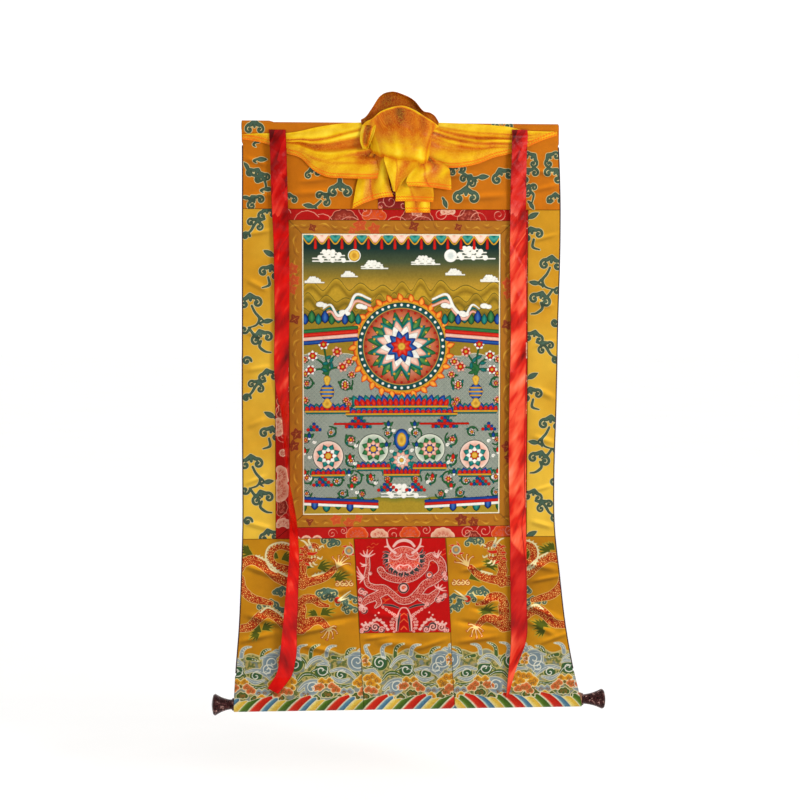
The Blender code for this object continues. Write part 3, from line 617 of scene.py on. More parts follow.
class Finish:
    """A material being made. Each method adds a node or a few and hands back the socket to go on from."""

    def __init__(self, name, **numbers):
        self.material = bpy.data.materials.new(name)
        self.material.use_nodes = True
        self.tree = self.material.node_tree
        self.shader = self.tree.nodes["Principled BSDF"]
        for key, value in numbers.items():
            self.shader.inputs[key.replace("_", " ").title().replace("Ior", "IOR")].default_value = value
        self.place = self.add("TexCoord").outputs["Object"]
        self.heights = []

    def add(self, kind, settings=None, inputs=None):
        """A node of a kind, with its settings, and with sockets or values on its inputs."""
        node = self.tree.nodes.new("ShaderNode" + kind)
        for key, value in (settings or {}).items():
            setattr(node, key, value)
        for key, value in (inputs or {}).items():
            if isinstance(value, bpy.types.NodeSocket):
                self.tree.links.new(value, node.inputs[key])
            else:
                node.inputs[key].default_value = value
        return node

    def math(self, operation, a, b=0.0, c=0.0):
        return self.add("Math", {"operation": operation}, {0: a, 1: b, 2: c}).outputs[0]

    def times(self, a, b):
        return self.math("MULTIPLY", a, b)

    def plus(self, a, b):
        return self.math("ADD", a, b)

    def sine(self, value):
        return self.math("SINE", value)

    def mix(self, share, a, b, blend="MIX"):
        """Colour b over colour a, by a share from 0 to 1."""
        node = self.add("Mix", {"data_type": "RGBA", "blend_type": blend}, {0: share, 6: a, 7: b})
        return node.outputs[2]

    def read(self, name):
        """A field of the mesh, as it is stored."""
        return self.add("Attribute", {"attribute_name": name}).outputs["Fac"]

    def field(self, name):
        """A field of the mesh, in millimetres."""
        return self.times(self.read(name), 1 / MM)

    def scale(self, value, low, high, to_low=0.0, to_high=1.0):
        """Moves a value from one range to another in a straight line, and stops at its ends."""
        inputs = {0: value, 1: low, 2: high, 3: to_low, 4: to_high}
        return self.add("MapRange", None, inputs).outputs[0]

    def bands(self, value, stops):
        """A colour for each value. It blends from stop to stop: a number, then red, green and blue."""
        low, high = stops[0][0], stops[-1][0]
        stops = [(at, rgb(*colour)) for at, *colour in stops]
        ramp = self.add("ValToRGB", None, {0: self.scale(value, low, high)})
        elements = ramp.color_ramp.elements
        for at, colour in stops[1:-1]:
            elements.new((at - low) / (high - low)).color = colour
        elements[0].color, elements[-1].color = stops[0][1], stops[-1][1]
        return ramp.outputs["Color"]

    def layer(self, base, field, *stops, soft=0.3):
        """Paints over base wherever the field is past the first stop, in bands from the edge inwards."""
        value = self.field(field) if isinstance(field, str) else field
        cover = self.scale(value, stops[0][0] - soft, stops[0][0] + soft)
        colour = self.bands(value, stops) if len(stops) > 1 else rgb(*stops[0][1:])
        return self.mix(cover, base, colour)

    def threads(self, size, direction, wobble=0.0):
        """Even ribs across a direction, one for each thread of that size in metres."""
        settings = {"bands_direction": direction}
        inputs = {"Vector": self.place, "Scale": WAVE_PERIOD / size, "Distortion": wobble}
        return self.add("TexWave", settings, inputs).outputs["Fac"]

    def noise(self, scale, detail=2.0, vector=None):
        """Soft patches, in the piece's own place or in a given one."""
        inputs = {"Vector": vector or self.place, "Scale": scale, "Detail": detail}
        return self.add("TexNoise", None, inputs).outputs["Fac"]

    def weave(self, colour, size, strength=0.12, depth=0.5):
        """Crossed threads: the colour darkens between them, and they stand up a little."""
        crossed = self.times(self.threads(size, "X"), self.threads(size * 1.3, "Z"))
        self.heights.append(self.times(crossed, depth))
        shade = self.scale(crossed, 0.0, 1.0, 1 - strength, 1 + strength)
        return self.shade(colour, shade)

    def net(self, scale):
        """The distance to the nearest line of an uneven net: scales of a fish, a snake or a dragon."""
        inputs = {"Vector": self.place, "Scale": scale}
        return self.add("TexVoronoi", {"feature": "DISTANCE_TO_EDGE"}, inputs).outputs[0]

    def shade(self, colour, value):
        """The colour times a number, which darkens it below 1 and lightens it above."""
        grey = self.add("CombineColor", None, {0: value, 1: value, 2: value}).outputs[0]
        return self.mix(1.0, colour, grey, "MULTIPLY")

    def mottle(self, colour, scale, low, high, detail=3.0):
        """Patches a little darker and lighter: uneven dye and soft dirt, and on the lower panels painted fold
        shade.
        """
        patches = self.scale(self.noise(scale, detail), 0.3, 0.7, low, high)
        return self.shade(colour, patches)

    def creased(self, colour, strength=0.36):
        """Painted shade and light on the two sides of the creases, as far as soft light would leave them too
        flat, and a painted shadow line where a sewn edge turns in."""
        tone = self.scale(self.field("fold"), -0.5, 0.5, 1 - strength, 1 + strength * 0.5)
        tone = self.times(tone, self.scale(self.field("seam"), 0.4, 1.5, 0.4, 1.0))
        return self.shade(colour, tone)

    def raise_up(self, value, height):
        """Lifts the surface where the value is high; height is a share of the bump's depth."""
        self.heights.append(self.times(value, height))

    def finish(self, colour, bump=0.35, depth=0.0006):
        """Joins the colour and all the heights to the shader."""
        self.tree.links.new(colour, self.shader.inputs["Base Color"])
        total = self.heights[0] if self.heights else None
        for more in self.heights[1:]:
            total = self.plus(total, more)
        if total is not None:
            inputs = {"Strength": bump, "Distance": depth, "Height": total}
            dent = self.add("Bump", None, inputs).outputs["Normal"]
            self.tree.links.new(dent, self.shader.inputs["Normal"])
        return self.material


# %% Lining
def lining_finish():
    """The plain cotton that backs the brocade: an undyed weave with uneven threads."""
    finish = Finish("backing cotton", roughness=0.9, specular_ior_level=0.1)
    colour = finish.mottle(rgb(176, 120, 60), 14, 0.94, 1.04)
    return finish.finish(finish.weave(colour, 0.9 * MM, 0.18))


LINING = lining_finish()

# %% [markdown]
# ## Cloud brocade
#
# The ground of the hanging is a gold satin with scrolling clouds: dark grey-green bodies with a pale
# line all round them. The pattern was charted as a short list of clouds, buds and stems. Each
# cloud is two spirals under a small cap.


# %% Cloud motifs
def cloud(draw, x, z, size, lean=0.0):
    """Two thick spirals that wind away from each other under a cap; lean turns the whole."""
    turn = np.array([[math.cos(lean), math.sin(lean)], [-math.sin(lean), math.cos(lean)]])

    def at(*places):
        return np.array(places) * size @ turn + (x, z)

    for hand in (-1, 1):
        wound = spiral(0.46 * hand, -0.02, 0.4, 1.15, math.pi / 2 + 0.5 * hand, -hand)
        path = at(*wound)
        draw.brush("body", path, 0.11 * size, 0.085 * size, 0.1 * size)
        cap = curve(*at((0.4 * hand, 0.32), (0.16 * hand, 0.5), (0, 0.62)))
        draw.stroke("body", cap, 0.13 * size)
    draw.stroke("body", at((0, 0.5), (0, 0.2)), [0.17 * size, 0.1 * size])


def curl(draw, x, z, size, hand=1, start=0.0):
    """One thick spiral."""
    path = spiral(x, z, 0.46 * size, 1.15, start, hand)
    draw.brush("body", path, 0.12 * size, 0.12 * size, 0.12 * size)


def bud(draw, x, z, size, lean):
    """A pointed bud with a hooked foot."""
    way = heading(lean)
    foot = np.array([x, z]) - way * size * 0.45
    draw.petal("body", *foot, size, size * 0.46, lean)
    hook = curve(foot, foot - way * size * 0.3 + (0, -3), foot - way * size * 0.2 + (4, -8))
    draw.brush("body", hook, 2.6, 2.0, 1.0)


def stem(draw, *points, thick=2.9):
    """A stem through a few points, a little thinner at its root and half as thick at its tip."""
    path = curve(*points)
    draw.brush("body", path, thick * 0.8, thick, thick * 0.45)


def side_clouds(draw, hand, top):
    """One repeat of the side panels' pattern, from its top downwards; hand mirrors it."""
    def at(x, z):
        return hand * x, top + z

    cloud(draw, *at(-282, 0), 25, 0.2 * hand)
    stem(draw, at(-288, -8), at(-306, -16), at(-318, -34), at(-332, -42))
    cloud(draw, *at(-308, -20), 22, -0.5 * hand)
    curl(draw, *at(-328, -44), 20, hand)
    bud(draw, *at(-279, -80), 25, math.pi / 2 + hand * 1.1)
    cloud(draw, *at(-279, -122), 27, -0.3 * hand)
    stem(draw, at(-281, -130), at(-279, -146), at(-294, -152))
    cloud(draw, *at(-318, -184), 29, 0.1 * hand)
    stem(draw, at(-316, -190), at(-309, -204), at(-300, -216), at(-306, -230), at(-322, -236))
    bud(draw, *at(-283, -222), 22, math.pi / 2 - hand * 1.4)
    stem(draw, at(-303, -212), at(-292, -220))
    curl(draw, *at(-332, -240), 20, -hand)
    stem(draw, at(-322, -236), at(-312, -250), at(-300, -258))
    cloud(draw, *at(-295, -259), 28, 0.3 * hand)
    stem(draw, at(-297, -264), at(-300, -276), at(-288, -286), at(-276, -288))
    curl(draw, *at(-327, -306), 21, hand)


# Clouds of the top panel: x, z, size, lean in tenths of a radian
TOP_CLOUDS = table(
    "x z size lean",
    (-130, -145, 30, 0), (-166, -160, 22, -8), (-187, -108, 20, 3), (-236, -162, 20, 0),
    (118, -99, 22, 3), (140, -121, 22, -5), (136, -156, 33, 0), (214, -112, 28, 4), (-308, -112, 24, -5),
    (-292, -118, 20, 3), (-306, -168, 24, 6), (272, -75, 24, -8), (320, -75, 24, 8), (272, -109, 26, 6),
    (321, -109, 26, -6), (274, -140, 20, 8), (326, -160, 22, 0), (-308, -16, 24, 0), (-60, -20, 24, 0),
    (212, -6, 26, 0), (60, -60, 26, 0),
    unit=1,
)
# Buds of the top panel: x, z, size, direction in tenths of a radian
TOP_BUDS = table(
    "x z size lean",
    (-130, -122, 20, 16), (-196, -174, 22, 30), (172, -112, 24, 1), (-294, -78, 22, 0),
    (-325, -92, 18, 22), (-281, -140, 20, 0), (-327, -158, 18, 30), (276, -172, 18, -10),
    (92, -168, 20, -12), (98, -92, 18, 28), (-300, -40, 16, 4),
    unit=1,
)


def top_clouds(draw):
    """The clouds and buds of the top panel, joined by stems."""
    for x, z, size, lean in zip(*TOP_CLOUDS.values()):
        cloud(draw, x, z, size, lean / 10)
    for x, z, size, lean in zip(*TOP_BUDS.values()):
        bud(draw, x, z, size, lean / 10)
    for path in (
        [(-130, -125), (-131, -136)], [(-170, -164), (-184, -176), (-198, -177)],
        [(122, -102), (136, -108), (142, -122), (136, -138), (137, -150)], [(146, -116), (162, -113)],
        [(-325, -96), (-314, -110), (-292, -116), (-285, -132), (-288, -142)], [(-322, -160), (-308, -168)],
        [(270, -128), (274, -142), (280, -150), (276, -168)], [(310, -164), (322, -162)],
    ):
        stem(draw, *path)


# %% Cloud brocade finish
def cloud_finish(name, high, low):
    """Painted shade and light: the ground goes from the high colour at the top of the hanging to the low one
    lower down, in soft patches.
    """
    finish = Finish(name, roughness=0.5, specular_ior_level=0.08)
    up = finish.add("SeparateXYZ", None, {0: finish.place}).outputs[2]
    patches = finish.scale(finish.noise(7, 3), 0.3, 0.7, -0.4, 0.4)
    light_and_patches = finish.plus(finish.scale(up, -0.2, -0.85), patches)
    colour = finish.mix(light_and_patches, high, low)
    colour = finish.layer(colour, "body", (-1.25, 206, 186, 120), (-0.35, 202, 190, 140),
                          (0.1, 58, 72, 50), (2.5, 72, 96, 78))
    colour = finish.creased(finish.mottle(finish.weave(colour, 0.75 * MM, 0.14), 30, 0.93, 1.05))
    finish.raise_up(finish.scale(finish.field("body"), -2.0, 0.5), 0.9)
    return finish.finish(colour)


# The side panels' ground is darker at the top and lighter lower down: painted shade and light.
SIDE_GOLD = cloud_finish("gold cloud brocade", rgb(206, 146, 28), rgb(232, 186, 58))
# The top panel's copy of the cloud brocade is darker all over: painted shade.
TOP_GOLD = cloud_finish("shaded cloud brocade", rgb(202, 112, 6), rgb(178, 88, 2))

# %% Piping
def piping(node, edge, hand):
    """A binding two millimetres wide: its section is a few columns that round off at both sides."""
    z = np.linspace(TOP_HEM.seam_z - 8 * MM, ROLLER_HEM.seam_z + 8 * MM, 700)[:, None]
    u = np.array([0, 0.12, 0.35, 0.65, 0.88, 1.0])[None, :]
    x = edge(z) + hand * PIPING_WIDTH * (u if hand > 0 else 1 - u)
    y = drape(x, z)
    sunk = CLOTH * 0.4 * (2 * u - 1) ** 4
    outer = grid_of(x, y - CLOTH / 2 + sunk, z)
    inner = grid_of(x, y + CLOTH / 2 - sunk * 0.5, z)
    mesh = slab_mesh(node + "_cloth", outer, inner)
    return place_piece(node + "_cloth", mesh, [BINDING, BINDING], [node])


def binding_finish():
    """A dark cloth cut on the slant, so its ribs run across the binding at an angle."""
    finish = Finish("dark binding", roughness=0.7, specular_ior_level=0.15)
    ribs = finish.threads(1.6 * MM, "DIAGONAL")
    colour = finish.mix(ribs, rgb(52, 26, 30), rgb(74, 50, 60))
    finish.raise_up(ribs, 0.8)
    return finish.finish(finish.mottle(colour, 60, 0.85, 1.15))


BINDING = binding_finish()
LEFT_TRIM = piping("edge_piping_left", outline_left, 1)
RIGHT_TRIM = piping("edge_piping_right", outline_right, -1)

# %% Top and side panels
RED_LEFT, RED_RIGHT = -267.5 * MM, 268.5 * MM


def panel_left(z):
    """The x where the left panels begin, inside the piping."""
    return outline_left(z) + PIPING_WIDTH * between_hems(z)


def panel_right(z):
    """The x where the right panels end, inside the piping."""
    return outline_right(z) - PIPING_WIDTH * between_hems(z)


def between_hems(z):
    """1 between the two hems, where piping takes up the edge, and 0 on them."""
    below_top = fade(z, TOP_HEM.seam_z, TOP_HEM.seam_z - 6 * MM)
    return below_top * fade(z, ROLLER_HEM.seam_z, ROLLER_HEM.seam_z + 6 * MM)


def seam_distance(points):
    """How far each point of a grid is from the piece's nearest edge, along its row or its column."""
    edges = points[:1], points[-1:], points[:, :1], points[:, -1:]
    return np.minimum.reduce([np.linalg.norm(points - edge, axis=2) for edge in edges])


def sheet_piece(node, grid, draw_on, finish):
    """A piece of cloth in place of one CAD node: its grid is drawn on, closed and placed."""
    x, z, outer, inner = grid
    drawing = Drawing(x, z)
    draw_on(drawing)
    drawing.fields["fold"] = fold_light(drawing.x * MM, drawing.z * MM) / MM
    drawing.fields["seam"] = seam_distance(outer).reshape(drawing.x.shape) / MM
    mesh = slab_mesh(node + "_cloth", outer, inner, drawing.done())
    piece = place_piece(node + "_cloth", mesh, [finish, LINING], [node])


SIDE_REPEAT = 340


def side_pattern(hand, first):
    """The repeats of the clouds down a side panel, from the height of the first."""
    def draw_on(draw):
        for k in range(4):
            side_clouds(draw, hand, first - SIDE_REPEAT * k)
    return draw_on


sheet_piece("top_panel", hem_grid(panel_left, panel_right, TOP_HEM, TOP_SEAM_Z, 2.0 * MM),
            top_clouds, TOP_GOLD)
ends = level(TOP_SEAM_Z), level(LOWER_SEAM_Z)
sheet_piece("side_panel_left", flat_grid(panel_left, upright(RED_LEFT), *ends, 1.9 * MM),
            side_pattern(1, -194), SIDE_GOLD)
sheet_piece("side_panel_right", flat_grid(upright(RED_RIGHT), panel_right, *ends, 1.9 * MM),
            side_pattern(-1, -113), SIDE_GOLD)

# %% [markdown]
# ## Red brocade border
#
# The outer border is red satin with pale scrolling lines, cream petals, orange patches and maroon
# leaves. Its four strips are cut from one cloth and mitred at the corners, so one drawing in the
# hanging's own x and z serves them all.


# %% Red border pattern
# Pale scrolls: centre x and z, radius, turns, start in tenths of a radian, and which way they wind
RED_SCROLLS = table(
    "x z radius turns start hand",
    (-204, -214, 34, 1.1, 5, 1), (-165, -216, 26, 1.3, 20, -1), (-118, -224, 38, 0.6, 2, 1),
    (-75, -182, 16, 1.4, 30, 1), (-20, -224, 42, 0.6, 0, 1), (36, -222, 34, 0.7, 4, 1),
    (82, -190, 15, 1.5, 10, -1), (120, -178, 22, 1.1, 30, 1), (160, -204, 20, 1.4, 0, 1),
    (206, -192, 16, 1.6, 15, -1), (240, -186, 14, 1.5, 5, 1), (-245, -190, 12, 1.5, 0, 1),
    (-252, -250, 17, 1.5, 5, 1), (-256, -330, 20, 1.3, 30, -1), (-250, -420, 18, 1.5, 0, 1),
    (-257, -520, 20, 1.4, 12, -1), (-252, -610, 22, 1.2, 3, 1), (-250, -660, 16, 1.5, 20, 1),
    (-251, -836, 16, 1.5, 20, -1), (-148, -868, 11, 1.5, 0, 1), (-124, -862, 9, 1.5, 20, -1),
    (-18, -872, 15, 1.4, 10, 1), (52, -862, 12, 1.5, 25, -1), (140, -868, 14, 1.6, 5, 1),
    (178, -864, 17, 1.4, 30, -1), (232, -866, 13, 1.5, 0, 1), (252, -240, 18, 1.4, 10, 1),
    (255, -330, 17, 1.4, 20, -1), (252, -430, 20, 1.3, 0, 1), (256, -540, 17, 1.5, 30, -1),
    (250, -650, 19, 1.4, 12, 1), (255, -750, 16, 1.5, 0, -1), (250, -830, 15, 1.5, 0, 1),
    (-24, -164, 19, 1.4, 8, 1), (4, -172, 14, 1.3, 25, -1), (-44, -174, 10, 1.2, 0, 1),
    (24, -146, 16, 1.4, 5, 1), (-10, -140, 13, 1.3, 30, -1),
    (-262, -214, 14, 1.2, 0, 1), (262, -214, 14, 1.2, 30, -1), (-254, -480, 13, 1.3, 8, 1),
    (-256, -570, 15, 0.9, 2, -1), (257, -385, 15, 1.2, 20, 1), (255, -600, 15, 1.0, 0, -1),
    unit=1,
)
# Blooms: which tint, centre x and z, petal length, how many petals, first direction and how far round
RED_BLOOMS = (
    ("maroon", -122, -212, 32, 5, 0.4, 2.4), ("maroon", 32, -210, 36, 6, 0.3, 2.5),
    ("maroon", 142, -202, 24, 5, 0.0, 3.0), ("orange", -58, -198, 26, 4, 0.2, 2.7),
    ("cream", 24, -192, 20, 3, 0.3, 1.2), ("cream", 98, -190, 17, 3, 0.5, 2.2),
    ("cream", -226, -882, 11, 5, 0.5, 2.2), ("cream", -203, -883, 12, 5, 0.5, 2.2),
    ("cream", -180, -882, 11, 5, 0.5, 2.2), ("orange", -95, -876, 24, 6, 0.3, 2.6),
    ("cream", -48, -880, 22, 4, 0.6, 1.8), ("orange", 18, -874, 22, 5, 0.3, 2.6),
    ("cream", 88, -884, 28, 5, 0.5, 2.1), ("orange", 216, -876, 24, 5, 0.2, 2.6),
    ("maroon", 152, -882, 18, 4, 0.4, 2.2), ("cream", -262, -745, 24, 7, -1.3, 2.6),
    ("cream", -264, -775, 26, 7, -1.3, 2.6), ("maroon", -262, -810, 20, 5, -1.2, 2.4),
    ("maroon", -258, -600, 24, 6, -1.4, 2.8), ("cream", -264, -640, 20, 5, -1.4, 2.8),
    ("maroon", -256, -560, 18, 5, -1.4, 2.8), ("cream", -252, -850, 17, 5, 0.0, 3.0),
    ("cream", -252, -695, 8, 8, 0.0, 5.6), ("maroon", 256, -300, 20, 6, 0.0, 5.6),
    ("cream", 258, -480, 20, 6, 0.0, 5.6), ("orange", 254, -600, 18, 6, 0.0, 5.6),
    ("cream", 256, -800, 20, 6, 0.0, 5.6), ("orange", -254, -470, 18, 6, 0.0, 5.6),
    ("cream", -254, -290, 20, 6, 0.0, 5.6),
)


def red_pattern(draw):
    """Scrolls and half open blooms; each bloom is a fan of petals with a thread along each petal."""
    for x, z, radius, turns, start, hand in zip(*RED_SCROLLS.values()):
        draw.stroke("scroll", spiral(x, z, radius, turns, start / 10, hand), 0.8)
    for tint, x, z, length, count, first, spread in RED_BLOOMS:
        for k in range(count):
            angle = first + spread * k / (count - 1)
            tip = np.array([x, z]) + heading(angle) * length * 0.62
            draw.disc(tint, *tip, length * 0.36)
            draw.stroke(tint, [(x, z), tip], [length * 0.08, length * 0.26])
            draw.stroke("vein", spiral(*tip, length * 0.22, 0.8, angle + 1.6), 0.6)
            draw.stroke("vein", [(x, z), tip], 0.55)


def red_finish(name, ground, shade):
    """Red satin: each figure is a layer with a pale edge, and threads are laid over them all."""
    finish = Finish(name, roughness=0.45, specular_ior_level=0.1)
    colour = finish.mix(finish.noise(9, 3), ground, shade)
    colour = finish.layer(colour, "maroon", (-1.2, 232, 150, 120), (-0.3, 226, 130, 100),
                          (0.4, 120, 28, 20), (6, 150, 48, 30))
    colour = finish.layer(colour, "orange", (-1.0, 238, 170, 130), (0.2, 222, 84, 24),
                          (6, 206, 62, 14))
    colour = finish.layer(colour, "cream", (-1.0, 196, 30, 20), (0.1, 236, 190, 160),
                          (3, 226, 168, 136), (8, 214, 140, 110))
    colour = finish.layer(colour, "vein", (0.0, 196, 96, 74))
    colour = finish.layer(colour, "scroll", (0.0, 232, 150, 126))
    colour = finish.creased(finish.mottle(finish.weave(colour, 0.7 * MM, 0.12), 40, 0.92, 1.06))
    finish.raise_up(finish.scale(finish.field("cream"), -1.5, 0.5), 0.5)
    return finish.finish(colour)


RED_FINISH = red_finish("red brocade", rgb(194, 16, 8), rgb(166, 8, 6))


# %% Mitred strips
def border_edges(outer, inner):
    """The sides and ends of four strips with mitred corners between two rectangles."""
    left, right, top, bottom = outer
    in_left, in_right, in_top, in_bottom = inner

    def slant(z_out, z_in):
        return lambda u: z_out + (z_in - z_out) * u

    return {
        "left": (upright(left), upright(in_left), slant(top, in_top), slant(bottom, in_bottom)),
        "right": (upright(in_right), upright(right), slant(in_top, top), slant(in_bottom, bottom)),
        "top": (line(left, top, in_left, in_top), line(right, top, in_right, in_top),
                level(top), level(in_top)),
        "bottom": (line(in_left, in_bottom, left, bottom), line(in_right, in_bottom, right, bottom),
                   level(in_bottom), level(bottom)),
    }


PICTURE = (-210 * MM, 210 * MM, -232.5 * MM, -827.5 * MM)
RED_OUTER = (RED_LEFT, RED_RIGHT, TOP_SEAM_Z, LOWER_SEAM_Z)
GOLD_OUTER = (-238 * MM, 238.5 * MM, -204 * MM, -854 * MM)
for side, edges in border_edges(RED_OUTER, GOLD_OUTER).items():
    sheet_piece("red_border_" + side, flat_grid(*edges, 1.6 * MM), red_pattern, RED_FINISH)

# %% [markdown]
# ## Gold brocade border
#
# The inner border is old gold on gold: flame-like strokes a shade darker or lighter than the ground,
# and a few orange and brown-red blossoms.

# %% Gold border pattern
# Flames: x, z, length, direction in tenths of a radian, and whether it is a bright one
GOLD_FLAMES = table(
    "x z length lean bright",
    *((-226 + 450 * k / 21, -219 + 4 * math.sin(2.4 * k), 26 + 8 * math.sin(k * k),
       (28 if k % 3 else 3) + 5 * math.sin(1.7 * k), k % 3 == 0) for k in range(22)),
    *((-226 + 450 * k / 21, -841 + 4 * math.sin(1.9 * k), 26 + 8 * math.sin(k * k + 1),
       (29 if k % 3 else 2) + 5 * math.sin(2.1 * k), k % 3 == 1) for k in range(22)),
    *((-224 + 3 * math.sin(2.4 * k), -246 - 24 * k, 28 + 8 * math.sin(k * k), 15 + 6 * math.sin(1.3 * k),
       k % 3 == 0) for k in range(24)),
    *((224 - 3 * math.sin(1.9 * k), -246 - 24 * k, 28 + 8 * math.sin(k * k + 2), 16 + 6 * math.sin(1.8 * k),
       k % 3 == 1) for k in range(24)),
    unit=1,
)
# Blossoms: tint, x, z, petal length, petals
GOLD_BLOOMS = (
    ("ember", -88, -214, 15, 5), ("ember", -58, -222, 14, 5), ("ember", -104, -226, 9, 4),
    ("umber", 26, -216, 12, 4), ("umber", -188, -220, 9, 4), ("umber", 120, -218, 9, 4),
    ("ember", -140, -838, 13, 5), ("ember", -112, -846, 13, 5), ("ember", -92, -836, 10, 4),
    ("umber", 128, -840, 14, 5), ("umber", 154, -846, 12, 5), ("umber", -196, -842, 9, 3),
    ("ember", -230, -306, 13, 5), ("ember", -227, -330, 13, 5), ("ember", -231, -350, 11, 4),
    ("umber", -226, -412, 12, 4), ("umber", -223, -655, 13, 5), ("umber", -229, -680, 13, 5),
    ("ember", 226, -336, 13, 5), ("ember", 229, -358, 13, 5), ("umber", 224, -424, 12, 4),
    ("umber", 226, -684, 13, 5), ("umber", 231, -708, 12, 5),
)


def gold_pattern(draw):
    """Bent flames with tapered ends, and blossoms whose round petals turn about a centre."""
    for x, z, length, lean, bright in zip(*GOLD_FLAMES.values()):
        way = heading(lean / 10)
        side = np.array([-way[1], way[0]])
        start = np.array([x, z])
        path = curve(start - way * length / 2, start + side * 4, start + way * length / 2 - side * 3)
        draw.brush("bright" if bright else "shade", path, 0.2, 2.0, 0.2)
        path = curve(start - way * 6 - side * 5, start - side * 1, start + way * 11 - side * 7)
        draw.brush("shade" if bright else "bright", path, 0.2, 1.6, 0.2)
    for tint, x, z, length, count in GOLD_BLOOMS:
        for k in range(count):
            angle = 0.5 + 2 * math.pi * k / count
            draw.petal(tint, x, z, length, length * 0.7, angle)
            tip = (x, z) + heading(angle) * length * 0.7
            draw.stroke("bright_vein", [(x, z), tip], 0.5)


def gold_finish():
    """Old gold satin whose flames differ from it by a shade, with blossoms in warmer tints."""
    finish = Finish("old gold brocade", roughness=0.5, specular_ior_level=0.15)
    colour = finish.mix(finish.noise(11, 4), rgb(184, 118, 18), rgb(162, 94, 10))
    colour = finish.layer(colour, "shade", (0.0, 158, 96, 14), (2, 146, 84, 10))
    colour = finish.layer(colour, "bright", (0.0, 196, 136, 32), (2, 212, 156, 44))
    for field, edge, deep, heart in (
        ("ember", (190, 120, 30), (206, 84, 30), (190, 60, 24)),
        ("umber", (170, 100, 26), (138, 50, 14), (120, 36, 12)),
    ):
        colour = finish.layer(colour, field, (-0.8, *edge), (0.1, *deep), (5, *heart))
    colour = finish.layer(colour, "bright_vein", (0.0, 200, 120, 40))
    colour = finish.creased(finish.mottle(finish.weave(colour, 0.7 * MM, 0.14), 40, 0.92, 1.06))
    finish.raise_up(finish.scale(finish.field("bright"), -1.0, 0.5), 0.15)
    return finish.finish(colour)


GOLD_FINISH = gold_finish()
for side, edges in border_edges(GOLD_OUTER, PICTURE).items():
    sheet_piece("gold_border_" + side, flat_grid(*edges, 1.7 * MM), gold_pattern, GOLD_FINISH)

# %% [markdown]
# ## Dragon brocade of the lower panels
#
# Three pieces are cut from one figured cloth: red-gold dragons among clouds above, a rough sea in the
# middle, and slanted stripes of standing water at the foot. The right piece is turned over, so its
# pattern is a mirror image. A chart gives each motif its place: its unit is a fraction of a millimetre,
# x runs to the right and y down from the chart's corner.


# %% Charts
def chart(x, z, unit, hand=1):
    """Turns places on a chart into millimetres on the hanging; hand -1 mirrors the chart."""
    return lambda *places: np.array(places, float) * (hand * unit, -unit) + (x, z)


